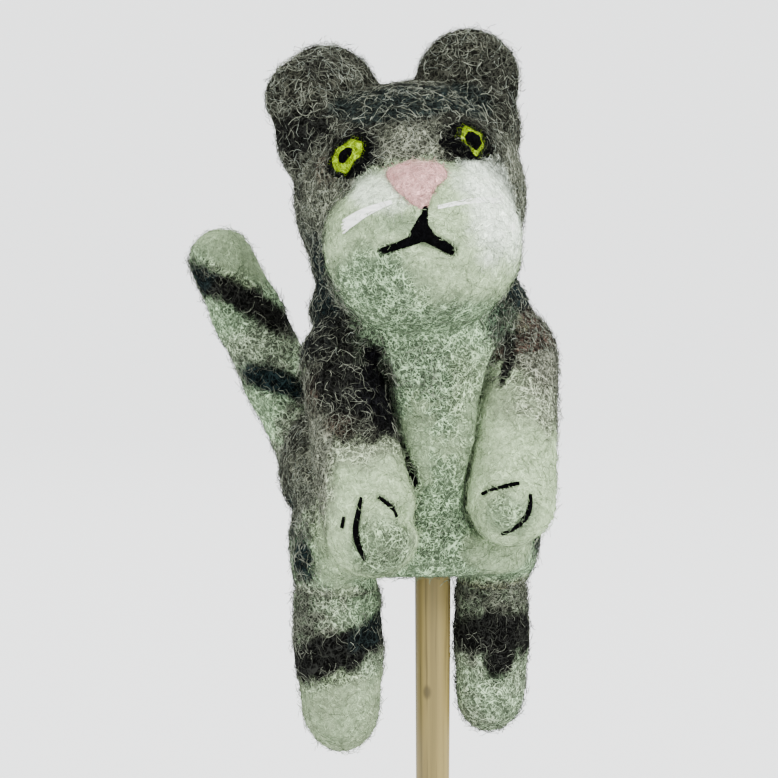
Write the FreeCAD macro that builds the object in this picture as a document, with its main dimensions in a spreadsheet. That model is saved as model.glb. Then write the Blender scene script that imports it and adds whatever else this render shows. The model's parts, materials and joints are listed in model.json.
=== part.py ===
import FreeCAD
import Part
import Sketcher
import os

# A needle-felted tabby cat finger puppet, standing on a wooden stick.
# Millimetres. The origin is the centre of the stick's lower end, +Z runs up the stick
# and the puppet faces -Y. "left" and "right" are a viewer's, facing the puppet.

DIMENSIONS = [
    # stick
    ("stick_length", 120, "lower end to the tip inside the puppet"),
    ("stick_radius", 2.5, "the handle"),
    ("stick_top_radius", 2.7, "the stretch inside the puppet"),
    ("stick_handle", 50, "length of the handle, up to the taper"),
    ("stick_taper", 32, "length of the taper above the handle"),
    ("stick_point", 6, "length of the pointed tip"),
    ("stick_tip_radius", 1.2, "flat on the pointed tip"),
    ("stick_bevel", 0.4, "rounded rim of the lower end"),
    ("stick_fit", 0.05, "stick to socket, radially"),
    ("stick_inside", 36, "length of stick inside the puppet, from the hem to the tip"),
    # torso: a hollow felt sleeve, lofted through five oval sections up from its hem
    ("torso_x", -3.0, "middle of the hem, beside the stick"),
    ("torso_lean", 1.4, "how far the shoulders stand nearer the stick than the hem"),
    ("hem_half_width", 18.3, "half widths run across the puppet, half depths front to back"),
    ("hem_half_depth", 13.8, "front to back at the hem"),
    ("hip_rise", 8, "height of the hips above the hem"),
    ("hip_half_width", 18.8, "widest, over the haunches"),
    ("hip_half_depth", 14.8, "front to back over the haunches"),
    ("waist_rise", 16, "above the hem"),
    ("waist_half_width", 16.8, "across the waist"),
    ("waist_half_depth", 14.4, "front to back at the waist"),
    ("chest_rise", 25, "above the hem"),
    ("chest_half_width", 13.8, "across the chest"),
    ("chest_half_depth", 13.2, "front to back at the chest"),
    ("shoulder_rise", 33, "above the hem"),
    ("shoulder_half_width", 13.2, "across the shoulders, under the neck ball"),
    ("shoulder_half_depth", 12.6, "front to back at the shoulders"),
    ("felt_gap", 0.35, "between pieces that move on each other"),
    # finger pocket
    ("pocket_y", 0.3, "pocket's axis behind the stick"),
    ("pocket_mouth_radius", 10.2, "at the hem"),
    ("pocket_top_radius", 8.6, "at the springing of its dome"),
    ("pocket_rise", 20, "hem to the springing of the dome"),
    # neck: the ball on which the head nods
    ("neck_x", -1.2, "ball's centre beside the stick"),
    ("neck_y", 0.5, "ball's centre behind the stick"),
    ("neck_above", 0.5, "ball's centre above the shoulders"),
    ("neck_radius", 15.6, "the ball under the head"),
    # bib
    ("bib_half_width", 6.6, "pale pad on the chest"),
    ("bib_half_height", 14.5, "pale pad on the chest"),
    ("bib_proud", 1.2, "how far it stands out of the chest"),
    ("bib_thickness", 3.2, "half the pad's depth, most of it inside the chest"),
    ("bib_drop", 2, "bib's middle below the middle of waist and chest"),
    # head, in its own frame with the neck ball's centre as origin
    ("head_turn", -10, "degrees, about the upright axis"),
    ("head_roll", -6.5, "degrees, sideways"),
    ("head_x", 0.5, "middle of the face beside the neck"),
    ("skull_z", 23.4, "skull's centre above the neck's"),
    ("skull_radius", 17.2, "the skull's ball"),
    ("jowl_z", 16.4, "the jowls' centre above the neck's"),
    ("jowl_radius", 15.8, "the ball of the jowls"),
    ("muzzle_reach", 6.8, "how far it stands out ahead of the skull"),
    ("muzzle_z", 15.8, "muzzle's centre above the neck's"),
    ("muzzle_half_width", 14.8, "the muzzle's oval ball"),
    ("muzzle_half_depth", 11.5, "front to back"),
    ("muzzle_half_height", 12.8, "top to chin"),
    ("nose_z", 25.9, "nose's middle above the neck's"),
    ("nose_ahead", 1.7, "nose's middle ahead of the skull"),
    ("nose_half_width", 4.4, "the pink pad"),
    ("nose_half_depth", 3.2, "front to back"),
    ("nose_half_height", 3.6, "top to bottom"),
    ("ear_spread", 10.6, "from the head's middle"),
    ("ear_sink", 1.0, "ear's middle below the skull's top"),
    ("ear_y", 1.5, "behind the neck"),
    ("ear_half_width", 8.0, "a thick oval disc"),
    ("ear_half_height", 8.2, "root to tip"),
    ("ear_half_thickness", 3.0, "front to back"),
    ("ear_splay", 22, "degrees"),
    ("eye_azimuth", 34, "degrees from straight ahead"),
    ("eye_height_angle", 24, "degrees above the skull's middle"),
    ("eye_patch_radius", 3.7, "black wool under the eye"),
    ("eye_patch_thickness", 0.7, "how far it stands out of the skull"),
    ("eye_ring_radius", 2.4, "outside of the coloured ring"),
    ("eye_ring_thickness", 0.6, "how far it stands out of the patch"),
    ("pupil_radius", 1.2, "fills the ring"),
    ("yarn", 0.9, "width of a stitched line"),
    ("yarn_proud", 0.6, "how far a stitched line stands out"),
    ("mouth_z", 16.9, "middle of the mouth above the neck"),
    ("mouth_half_width", 5.2, "from the middle to a corner"),
    ("mouth_droop", 12, "degrees, each side of the mouth"),
    ("whisker_length", 10, "a tuft of bristle"),
    ("whisker_root_radius", 0.5, "beside the nose"),
    ("whisker_tip_radius", 1.0, "the spread end"),
    ("whisker_start", 3.2, "from the head's middle"),
    ("whisker_ahead", 4.4, "root ahead of the skull"),
    ("whisker_z", 22.4, "root above the neck"),
    ("whisker_fall", 8, "degrees below level"),
    ("whisker_sweep", 12, "degrees back"),
    # arms, each along -Z in its own frame from its shoulder
    ("arm_forward", 27, "degrees in front of hanging"),
    ("arm_root_radius", 5.6, "the ball in the shoulder"),
    ("arm_y", 5.5, "shoulder, forward of the stick"),
    ("left_shoulder_x", -15.0, "shoulder beside the stick"),
    ("left_shoulder_top", 3.9, "top of the arm above the shoulder section"),
    ("left_arm_length", 25.2, "shoulder to the paw's middle"),
    ("left_arm_dark", 12.5, "length of the dark upper arm"),
    ("left_arm_inward", 5.5, "degrees"),
    ("left_paw_radius", 6.6, "the ball of the paw"),
    ("right_shoulder_x", 11.9, "shoulder beside the stick"),
    ("right_shoulder_top", 4.9, "top of the arm above the shoulder section"),
    ("right_arm_length", 22.6, "shoulder to the paw's middle"),
    ("right_arm_dark", 6.5, "length of the dark upper arm"),
    ("right_arm_inward", -11, "degrees"),
    ("right_paw_radius", 6.3, "the ball of the paw"),
    ("arm_room", 0.7, "clearance of the arm's path through the sleeve"),
    ("arm_lift", 45, "degrees an arm rises"),
    ("toe_line_a_x", -2.0, "middle of the long toe line, across the left paw"),
    ("toe_line_a_z", -1.6, "its height from the paw's middle"),
    ("toe_line_a_length", 7.5, "end to end"),
    ("toe_line_a_angle", 5, "degrees from upright"),
    ("toe_line_b_x", 2.8, "the short toe line"),
    ("toe_line_b_z", 1.4, "its height from the paw's middle"),
    ("toe_line_b_length", 4.6, "end to end"),
    ("toe_line_b_angle", -56, "degrees from upright"),
    # legs, each along -Z in its own frame from its hip
    ("leg_y", 0, "hips ahead of the stick"),
    ("left_leg_gap", 5.1, "leg to the stick"),
    ("left_leg_radius", 6.8, "a straight round leg"),
    ("left_leg_length", 19.2, "hip to the sole"),
    ("left_band_start", 2, "hip to the dark band"),
    ("right_leg_gap", 0.8, "leg to the stick"),
    ("right_leg_radius", 5.6, "a straight round leg"),
    ("right_leg_length", 17, "hip to the sole"),
    ("right_band_start", 1, "hip to the dark band"),
    ("band_width", 5.5, "dark band round a leg"),
    ("band_proud", 0.3, "how far a dark band stands out"),
    # tail, along +Z in its own frame from its root
    ("tail_x", -9.6, "root beside the stick"),
    ("tail_gap", 0.5, "root to the back of the hips"),
    ("tail_rise", 8, "above the hem"),
    ("tail_length", 43.6, "root to the tip's middle"),
    ("tail_root_radius", 5.8, "the ball at the root"),
    ("tail_tip_radius", 5.2, "the rounded tip"),
    ("tail_side_lean", -25.2, "degrees"),
    ("tail_back_lean", -6.5, "degrees"),
    ("tail_band_start", 20, "root to the first dark ring"),
    ("tail_band_step", 12, "from one dark ring to the next"),
    ("tail_band_width", 4.5, "along the tail"),
]
TAIL_BANDS = 2
ARM_PATH_STEPS = 4
OVERSHOOT = "1"  # how far a cutting tool runs past the face it cuts

doc = FreeCAD.newDocument("cat_finger_puppet")
sheet = doc.addObject("Spreadsheet::Sheet", "dims")
for row, (alias, value, meaning) in enumerate(DIMENSIONS, start=1):
    sheet.set(f"A{row}", alias)
    sheet.set(f"B{row}", str(value))
    sheet.set(f"C{row}", meaning)
    sheet.setAlias(f"B{row}", alias)
doc.recompute()

nodes = []


def dim(alias):
    """The expression that reads a driving dimension."""
    return "dims." + alias


def place(x="0", y="0", z="0", yaw="0", pitch="0", roll="0"):
    """The expression of a placement: a position, then turns about Z, Y and X."""
    return (
        f"create(<<placement>>; create(<<vector>>; {x}; {y}; {z}); "
        f"create(<<rotation>>; {yaw}; {pitch}; {roll}))"
    )


def primitive(kind, name, where=None, **sizes):
    """A Part primitive whose sizes and placement are bound to the sheet."""
    item = doc.addObject("Part::" + kind, name)
    for prop, expression in sizes.items():
        item.setExpression(prop, expression)
    if where:
        item.setExpression("Placement", where)
    return item


def fuse(name, *parts):
    item = doc.addObject("Part::MultiFuse", name)
    item.Shapes = list(parts)
    item.Refine = False
    return item


def cut(name, base, *tools):
    """base less each tool in turn; the last cut has the given name."""
    for index, tool in enumerate(tools, start=1):
        item = doc.addObject("Part::Cut", name if index == len(tools) else f"{name}_step{index}")
        item.Base = base
        item.Tool = tool
        base = item
    return base


def common(name, base, tool):
    item = doc.addObject("Part::Common", name)
    item.Base = base
    item.Tool = tool
    return item


def node(label, item, where=None):
    """Names a finished sub-part, and puts it in its place."""
    item.Label = label
    if where:
        item.setExpression("Placement", where)
    nodes.append(item)
    return item


def origin_plane(body, role):
    return next(item for item in body.Origin.OriginFeatures if item.Role == role)


def sketch_on(body, role, name):
    sketch = body.newObject("Sketcher::SketchObject", name)
    sketch.AttachmentSupport = [(origin_plane(body, role), "")]
    sketch.MapMode = "FlatFace"
    return sketch


def bind_constraint(sketch, constraint, expression):
    index = sketch.addConstraint(constraint)
    sketch.setExpression(f"Constraints[{index}]", expression)


def outline(sketch, points):
    """A closed outline of straight lines, each corner held at its own expressions."""
    count = len(points)
    for index in range(count):
        start = FreeCAD.Vector(index % 2 + 1, index, 0)
        end = FreeCAD.Vector((index + 1) % 2 + 1, (index + 1) % count, 0)
        sketch.addGeometry(Part.LineSegment(start, end))
    for index, (across, up) in enumerate(points):
        sketch.addConstraint(Sketcher.Constraint("Coincident", index, 2, (index + 1) % count, 1))
        bind_constraint(sketch, Sketcher.Constraint("DistanceX", -1, 1, index, 1, 1.0), across)
        bind_constraint(sketch, Sketcher.Constraint("DistanceY", -1, 1, index, 1, 1.0), up)


def oval(body, name, half_width, half_depth, across, height):
    """An oval section of a loft, level, at a height."""
    sketch = sketch_on(body, "XY_Plane", name)
    long_end, short_end = FreeCAD.Vector(12, 0, 0), FreeCAD.Vector(0, 9, 0)
    ellipse = sketch.addGeometry(Part.Ellipse(long_end, short_end, FreeCAD.Vector()))
    sketch.exposeInternalGeometry(ellipse)
    sketch.addConstraint(Sketcher.Constraint("Coincident", ellipse, 3, -1, 1))
    sketch.addConstraint(Sketcher.Constraint("Horizontal", ellipse + 1))
    major = Sketcher.Constraint("Distance", ellipse + 1, 24.0)
    minor = Sketcher.Constraint("Distance", ellipse + 2, 18.0)
    bind_constraint(sketch, major, "2 * " + half_width)
    bind_constraint(sketch, minor, "2 * " + half_depth)
    sketch.setExpression("AttachmentOffset.Base.x", across)
    sketch.setExpression("AttachmentOffset.Base.z", height)
    return sketch


def capsule(name, root_radius, end_radius, length, up=False):
    """A round-ended tapered rod from the frame's origin, down -Z, or up +Z."""
    sign = "1" if up else "-1"
    low, high = ("0", "180") if up else ("180", "0")
    rod = primitive(
        "Cone", name + "_rod", place(roll=low),
        Radius1=root_radius, Radius2=end_radius, Height=length,
    )
    root = primitive("Sphere", name + "_root", Radius=root_radius)
    end = primitive("Sphere", name + "_end", place(z=f"{sign} * {length}"), Radius=end_radius)
    return fuse(name, rod, root, end)


# ---------------------------------------------------------------- stick


def make_stick():
    """A turned dowel: a plain handle, a slight taper and a blunt point."""
    body = doc.addObject("PartDesign::Body", "stick")
    profile = sketch_on(body, "XZ_Plane", "stick_profile")
    taper_end = f"({dim('stick_handle')} + {dim('stick_taper')})"
    outline(profile, [
        ("0", "0"),
        (f"{dim('stick_radius')} - {dim('stick_bevel')}", "0"),
        (dim("stick_radius"), dim("stick_bevel")),
        (dim("stick_radius"), dim("stick_handle")),
        (dim("stick_top_radius"), taper_end),
        (dim("stick_top_radius"), f"{dim('stick_length')} - {dim('stick_point')}"),
        (dim("stick_tip_radius"), dim("stick_length")),
        ("0", dim("stick_length")),
    ])
    doc.recompute()
    turned = body.newObject("PartDesign::Revolution", "stick_turned")
    turned.Profile = profile
    turned.ReferenceAxis = (profile, ["V_Axis"])
    turned.Angle = 360
    node("stick", body)


# ---------------------------------------------------------------- torso

HEM_Z = f"({dim('stick_length')} - {dim('stick_inside')})"
NECK_Z = f"({HEM_Z} + {dim('shoulder_rise')} + {dim('neck_above')})"
TAIL_Y = f"({dim('hip_half_depth')} + {dim('tail_gap')} + {dim('tail_root_radius')})"
MUZZLE_Y = f"({dim('skull_radius')} + {dim('muzzle_reach')} - {dim('muzzle_half_depth')})"
SIDES = {
    "left": {"sign": -1, "yaw": f"-1 * {dim('eye_azimuth')}"},
    "right": {"sign": 1, "yaw": dim("eye_azimuth")},
}


def arm_place(side, lift="0"):
    """An arm's frame: its shoulder, and its lean forward and inward."""
    return place(
        dim(f"{side}_shoulder_x"),
        f"-1 * {dim('arm_y')}",
        f"{HEM_Z} + {dim('shoulder_rise')} + {dim(f'{side}_shoulder_top')} - {dim('arm_root_radius')}",
        pitch=f"-1 * {dim(f'{side}_arm_inward')}",
        roll=f"-1 * ({dim('arm_forward')} + {lift})",
    )


def neck_ball(name, gap="0"):
    centre = place(dim("neck_x"), dim("neck_y"), NECK_Z)
    return primitive("Sphere", name, centre, Radius=f"{dim('neck_radius')} + {gap}")


def arm_path(side):
    """The room an arm sweeps from its rest to its lift, with its clearance."""
    root = f"{dim('arm_root_radius')} + {dim('arm_room')}"
    paw = f"{dim(f'{side}_paw_radius')} + {dim('arm_room')}"
    sweep = []
    for step in range(ARM_PATH_STEPS):
        item = capsule(f"{side}_arm_path{step}", root, paw, dim(f"{side}_arm_length"))
        lift = f"{dim('arm_lift')} * {step} / {ARM_PATH_STEPS - 1}"
        item.setExpression("Placement", arm_place(side, lift))
        sweep.append(item)
    return sweep


def torso_outer():
    """The sleeve's outside: a loft through hem, hips, waist, chest and shoulders."""
    body = doc.addObject("PartDesign::Body", "sleeve_outside")
    sections = []
    for level, rise in (
        ("hem", None), ("hip", "hip_rise"), ("waist", "waist_rise"),
        ("chest", "chest_rise"), ("shoulder", "shoulder_rise"),
    ):
        height = HEM_Z if rise is None else f"{HEM_Z} + {dim(rise)}"
        lean = "0" if rise is None else f"{dim('torso_lean')} * {dim(rise)} / {dim('shoulder_rise')}"
        sections.append(oval(
            body, level + "_section",
            dim(level + "_half_width"), dim(level + "_half_depth"),
            f"{dim('torso_x')} + {lean}", height,
        ))
    doc.recompute()
    loft = body.newObject("PartDesign::AdditiveLoft", "sleeve_loft")
    loft.Profile = sections[0]
    loft.Sections = sections[1:]
    doc.recompute()
    return body


def make_torso():
    """The felt sleeve with its finger pocket, stick socket and neck ball, and the bib."""
    outside = fuse("torso_outside", torso_outer(), neck_ball("neck"))

    pocket_axis = (dim("torso_x"), dim("pocket_y"))
    pocket_floor = f"({HEM_Z} + {dim('pocket_rise')})"
    mouth = primitive(
        "Cone", "pocket_cone", place(*pocket_axis, HEM_Z),
        Radius1=dim("pocket_mouth_radius"), Radius2=dim("pocket_top_radius"),
        Height=dim("pocket_rise"),
    )
    below = primitive(
        "Cylinder", "pocket_mouth", place(*pocket_axis, f"{HEM_Z} - {OVERSHOOT}"),
        Radius=dim("pocket_mouth_radius"), Height=OVERSHOOT,
    )
    dome = primitive(
        "Sphere", "pocket_dome", place(*pocket_axis, pocket_floor),
        Radius=dim("pocket_top_radius"),
    )
    socket = primitive(
        "Cylinder", "stick_socket", place(z=pocket_floor),
        Radius=f"{dim('stick_top_radius')} + {dim('stick_fit')}",
        Height=f"{dim('stick_length')} + {dim('felt_gap')} - {pocket_floor}",
    )
    hollow = fuse("finger_pocket", mouth, below, dome, socket)
    arm_paths = arm_path("left") + arm_path("right")
    node("body_sleeve", cut("sleeve_hollowed", outside, hollow, *arm_paths))

    bib_z = f"{HEM_Z} + ({dim('waist_rise')} + {dim('chest_rise')}) / 2 - {dim('bib_drop')}"
    pad = primitive(
        "Ellipsoid", "bib_pad",
        place(
            f"{dim('torso_x')} + {dim('torso_lean')}",
            f"-1 * ({dim('waist_half_depth')} + {dim('bib_proud')} - {dim('bib_thickness')})",
            bib_z,
        ),
        Radius1=dim("bib_half_height"), Radius2=dim("bib_half_width"),
        Radius3=dim("bib_thickness"),
    )
    node("chest_bib", cut("bib_on_chest", pad, outside, *arm_paths))


# ---------------------------------------------------------------- head

HEAD = place(dim("neck_x"), dim("neck_y"), NECK_Z, dim("head_turn"), dim("head_roll"), "0")


def skull(name, proud="0"):
    """The skull's ball in the head's frame, grown by proud."""
    centre = place(dim("head_x"), "0", dim("skull_z"))
    return primitive("Sphere", name, centre, Radius=f"{dim('skull_radius')} + {proud}")


def jowls(name):
    centre = place(dim("head_x"), "0", dim("jowl_z"))
    return primitive("Sphere", name, centre, Radius=dim("jowl_radius"))


def neck_hollow(name):
    """The hollow under the head that the neck ball turns in."""
    return primitive("Sphere", name, Radius=f"{dim('neck_radius')} + {dim('felt_gap')}")


def muzzle(name, proud="0"):
    return primitive(
        "Ellipsoid", name,
        place(dim("head_x"), f"-1 * {MUZZLE_Y}", dim("muzzle_z")),
        Radius1=f"{dim('muzzle_half_height')} + {proud}",
        Radius2=f"{dim('muzzle_half_width')} + {proud}",
        Radius3=f"{dim('muzzle_half_depth')} + {proud}",
    )


def nose(name):
    return primitive(
        "Ellipsoid", name,
        place(dim("head_x"), f"-1 * ({dim('skull_radius')} + {dim('nose_ahead')})", dim("nose_z")),
        Radius1=dim("nose_half_height"), Radius2=dim("nose_half_width"),
        Radius3=dim("nose_half_depth"),
    )


def stroke(name, middle_x, middle_z, length, angle, depth, behind="0"):
    """A straight line of yarn seen from the front: a bar from behind out to depth."""
    half_x, half_z = f"{dim('yarn')} / 2", f"({length}) / 2"
    corner_x = f"{middle_x} - ({half_x}) * cos({angle}) - ({half_z}) * sin({angle})"
    corner_z = f"{middle_z} + ({half_x}) * sin({angle}) - ({half_z}) * cos({angle})"
    return primitive(
        "Box", name, place(corner_x, f"-1 * ({depth})", corner_z, pitch=angle),
        Length=dim("yarn"), Width=f"({depth}) - ({behind})", Height=length,
    )


def make_head():
    """Skull and jowls, the muzzle laid on them, and the pieces felted on top."""
    core = cut("head_on_neck", fuse("head_ball", skull("skull"), jowls("jowls")), neck_hollow("nape"))
    node("head_core", core, HEAD)

    pad = cut("muzzle_pad", muzzle("muzzle"), skull("skull_face"), jowls("jowl_face"),
              neck_hollow("throat"))
    node("muzzle_pad", pad, HEAD)

    nose_pad = cut("nose_pad", nose("nose"), muzzle("muzzle_under_nose"), skull("skull_under_nose"))
    node("nose_pad", nose_pad, HEAD)

    mouth_end = f"({dim('nose_z')} - {dim('nose_half_height')})"
    face = (f"2 * ({MUZZLE_Y} + {dim('muzzle_half_depth')})", MUZZLE_Y)
    lip = f"({dim('mouth_half_width')} / cos({dim('mouth_droop')} * 1 deg))"
    strokes = [stroke(
        "philtrum", dim("head_x"), f"({mouth_end} + {dim('mouth_z')}) / 2",
        f"{mouth_end} - {dim('mouth_z')}", "0 deg", *face,
    )]
    for side, sign in (("left", -1), ("right", 1)):
        strokes.append(stroke(
            f"lip_{side}",
            f"{dim('head_x')} + {sign} * {dim('mouth_half_width')} / 2",
            f"{dim('mouth_z')} - {lip} / 2 * sin({dim('mouth_droop')} * 1 deg)",
            lip, f"{sign} * (90 deg + {dim('mouth_droop')} * 1 deg)", *face,
        ))
    line = common("mouth_line", fuse("mouth_bars", *strokes), muzzle("lip_face", dim("yarn_proud")))
    stitch = cut("mouth_stitch", line, muzzle("muzzle_under_lips"), nose("nose_over_lips"))
    node("mouth_stitch", stitch, HEAD)

    for side, facts in SIDES.items():
        make_ear(side, facts["sign"])
        make_eye(side, facts["yaw"])
        make_whiskers(side, facts["sign"])


def make_ear(side, sign):
    """A thick round ear, set on the skull."""
    lobe = primitive(
        "Ellipsoid", f"ear_lobe_{side}",
        place(
            f"{dim('head_x')} + {sign} * {dim('ear_spread')}", dim("ear_y"),
            f"{dim('skull_z')} + {dim('skull_radius')} - {dim('ear_sink')}",
            pitch=f"{sign} * {dim('ear_splay')}",
        ),
        Radius1=dim("ear_half_height"), Radius2=dim("ear_half_width"),
        Radius3=dim("ear_half_thickness"),
    )
    ear = cut(f"ear_{side}_cut", lobe, skull(f"skull_under_ear_{side}"))
    node(f"ear_{side}", ear, HEAD)


def make_eye(side, yaw):
    """A dark patch on the skull, a ring on the patch and a pupil in the ring."""
    axis = place(
        dim("head_x"), "0", dim("skull_z"), yaw, "0", f"90 - {dim('eye_height_angle')}",
    )

    def plug(name, radius):
        reach = f"2 * {dim('skull_radius')}"
        return primitive("Cylinder", f"{name}_{side}", axis, Radius=radius, Height=reach)

    patch_top = dim("eye_patch_thickness")
    ring_top = f"{dim('eye_patch_thickness')} + {dim('eye_ring_thickness')}"

    patch = cut(
        f"eye_patch_{side}_cut",
        common(f"eye_disc_{side}", plug("eye_plug", dim("eye_patch_radius")),
               skull(f"patch_face_{side}", patch_top)),
        skull(f"skull_under_eye_{side}"), muzzle(f"muzzle_by_eye_{side}"),
        nose(f"nose_by_eye_{side}"),
    )
    node(f"eye_patch_{side}", patch, HEAD)

    ring = cut(
        f"eye_ring_{side}_cut",
        common(f"ring_disc_{side}", plug("ring_plug", dim("eye_ring_radius")),
               skull(f"ring_face_{side}", ring_top)),
        skull(f"patch_under_ring_{side}", patch_top),
        plug("ring_hole", dim("pupil_radius")),
        muzzle(f"muzzle_by_ring_{side}"),
    )
    node(f"eye_ring_{side}", ring, HEAD)

    pupil = cut(
        f"eye_pupil_{side}_cut",
        common(f"pupil_disc_{side}", plug("pupil_plug", dim("pupil_radius")),
               skull(f"pupil_face_{side}", ring_top)),
        skull(f"patch_under_pupil_{side}", patch_top),
    )
    node(f"eye_pupil_{side}", pupil, HEAD)


def make_whiskers(side, sign):
    """A flat tuft of white bristle from beside the nose."""
    tuft = primitive(
        "Cone", f"tuft_{side}",
        place(
            f"{dim('head_x')} + {sign} * {dim('whisker_start')}",
            f"-1 * ({dim('skull_radius')} + {dim('whisker_ahead')})", dim("whisker_z"),
            yaw=f"{sign} * {dim('whisker_sweep')}",
            pitch=f"{sign} * (90 + {dim('whisker_fall')})",
        ),
        Radius1=dim("whisker_root_radius"), Radius2=dim("whisker_tip_radius"),
        Height=dim("whisker_length"),
    )
    whiskers = cut(f"whiskers_{side}_cut", tuft, muzzle(f"muzzle_under_tuft_{side}"),
                   nose(f"nose_by_tuft_{side}"))
    node(f"whiskers_{side}", whiskers, HEAD)


# ---------------------------------------------------------------- limbs


def make_arm(side, sign):
    """A dark upper arm, a pale forearm with its paw, and two toe lines."""
    length, dark = dim(f"{side}_arm_length"), dim(f"{side}_arm_dark")
    root, paw = dim("arm_root_radius"), dim(f"{side}_paw_radius")
    split = f"({root} + ({paw} - {root}) * {dark} / {length})"

    upper_rod = primitive(
        "Cone", f"upper_arm_rod_{side}", place(roll="180"),
        Radius1=root, Radius2=split, Height=dark,
    )
    shoulder = primitive("Sphere", f"shoulder_ball_{side}", Radius=root)
    upper = fuse(f"upper_arm_{side}_fused", upper_rod, shoulder)
    node(f"upper_arm_{side}", upper, arm_place(side))

    fore_rod = primitive(
        "Cone", f"forearm_rod_{side}", place(z=f"-1 * {dark}", roll="180"),
        Radius1=split, Radius2=paw, Height=f"{length} - {dark}",
    )

    def paw_ball(name, proud="0"):
        return primitive("Sphere", f"{name}_{side}", place(z=f"-1 * {length}"),
                         Radius=f"{paw} + {proud}")

    forepaw = fuse(f"forepaw_{side}_fused", fore_rod, paw_ball("paw_ball"))
    node(f"forepaw_{side}", forepaw, arm_place(side))

    lines = []
    for line in ("a", "b"):
        lines.append(stroke(
            f"toe_bar_{line}_{side}",
            f"{-sign} * {dim(f'toe_line_{line}_x')}",
            f"{dim(f'toe_line_{line}_z')} - {length}",
            dim(f"toe_line_{line}_length"),
            f"{-sign} * {dim(f'toe_line_{line}_angle')} * 1 deg", f"2 * {paw}",
        ))
    face = common(f"toe_face_{side}", fuse(f"toe_bars_{side}", *lines),
                  paw_ball("stitched_paw", dim("yarn_proud")))
    stitches = cut(f"toe_stitches_{side}_cut", face, paw_ball("paw_under_lines"),
                   primitive("Cone", f"forearm_under_{side}", place(z=f"-1 * {dark}", roll="180"),
                             Radius1=split, Radius2=paw, Height=f"{length} - {dark}"))
    node(f"toe_stitches_{side}", stitches, arm_place(side))


def make_leg(side, sign):
    """The leg below the hem: a dark-topped leg, a dark band and a pale foot."""
    radius, length = dim(f"{side}_leg_radius"), dim(f"{side}_leg_length")
    start, width = dim(f"{side}_band_start"), dim("band_width")
    hip_x = f"{sign} * ({dim('stick_top_radius')} + {dim(f'{side}_leg_gap')} + {radius})"
    hip_y = f"-1 * {dim('leg_y')}"
    hip_z = f"{HEM_Z} - {dim('felt_gap')} - {radius}"
    where = place(hip_x, hip_y, hip_z)

    hip = primitive("Sphere", f"hip_ball_{side}", Radius=radius)
    shaft = primitive("Cylinder", f"leg_shaft_{side}", place(z=f"-1 * {start}"),
                      Radius=radius, Height=start)
    below = primitive("Cylinder", f"leg_end_{side}", place(z=f"-1 * ({start} + {radius})"),
                      Radius=f"{radius} + {OVERSHOOT}", Height=radius)
    leg = cut(f"leg_{side}_cut", fuse(f"leg_{side}_fused", hip, shaft), below)
    node(f"leg_{side}", leg, where)

    band = primitive(
        "Cylinder", f"leg_band_{side}_ring",
        Radius=f"{radius} + {dim('band_proud')}", Height=width,
    )
    node(f"leg_band_{side}", band, place(hip_x, hip_y, f"{hip_z} - {start} - {width}"))

    rise = f"({length} - {radius})"
    sole = primitive("Sphere", f"foot_ball_{side}", place(z=f"-1 * {rise}"), Radius=radius)
    ankle = primitive("Cylinder", f"ankle_{side}", place(z=f"-1 * {rise}"),
                      Radius=radius, Height=f"{rise} - {start} - {width}")
    above = primitive("Cylinder", f"foot_top_{side}", place(z=f"-1 * ({start} + {width})"),
                      Radius=f"{radius} + {OVERSHOOT}", Height=f"{radius} * 2")
    foot = cut(f"foot_{side}_cut", fuse(f"foot_{side}_fused", sole, ankle), above)
    node(f"foot_{side}", foot, where)


def make_tail():
    """The tail, leaning out behind, and the dark rings round it."""
    where = place(
        dim("tail_x"), TAIL_Y, f"{HEM_Z} + {dim('tail_rise')}",
        pitch=dim("tail_side_lean"), roll=dim("tail_back_lean"),
    )
    root, tip, length = dim("tail_root_radius"), dim("tail_tip_radius"), dim("tail_length")
    rings = []
    for index in range(TAIL_BANDS):
        start = f"({dim('tail_band_start')} + {index} * {dim('tail_band_step')})"
        radius = f"({root} + ({tip} - {root}) * {start} / {length} + {dim('band_proud')})"
        rings.append(primitive("Cylinder", f"tail_ring{index}", place(z=start),
                               Radius=radius, Height=dim("tail_band_width")))
    tail = capsule("tail_rod", root, tip, length, up=True)
    node("tail", tail, where)
    under = capsule("tail_under_rings", root, tip, length, up=True)
    node("tail_bands", cut("tail_rings", fuse("tail_ring_group", *rings), under), where)


make_stick()
make_torso()
make_head()
for side, facts in SIDES.items():
    make_arm(side, facts["sign"])
    make_leg(side, facts["sign"])
make_tail()
doc.recompute()

faults = [item.Name for item in doc.Objects if {"Invalid", "Error"} & set(item.State)]
if faults:
    raise RuntimeError("failed objects: " + ", ".join(faults))
os.makedirs("parts", exist_ok=True)
for item in nodes:
    if item.Shape.isNull() or not item.Shape.isValid() or not item.Shape.Solids:
        raise RuntimeError("bad shape: " + item.Label)
    item.Shape.exportStep(f"parts/{item.Label}.step")
    print(f"{item.Label}: {len(item.Shape.Solids)} solid, {item.Shape.Volume:.1f} mm3")
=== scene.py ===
"""A needle-felted tabby cat finger puppet on a wooden stick."""

import json
import math

import bmesh
import bpy
import numpy as np
from bpy.props import FloatProperty, FloatVectorProperty, PointerProperty
from mathutils import Matrix, Vector, noise
from mathutils.bvhtree import BVHTree

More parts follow.
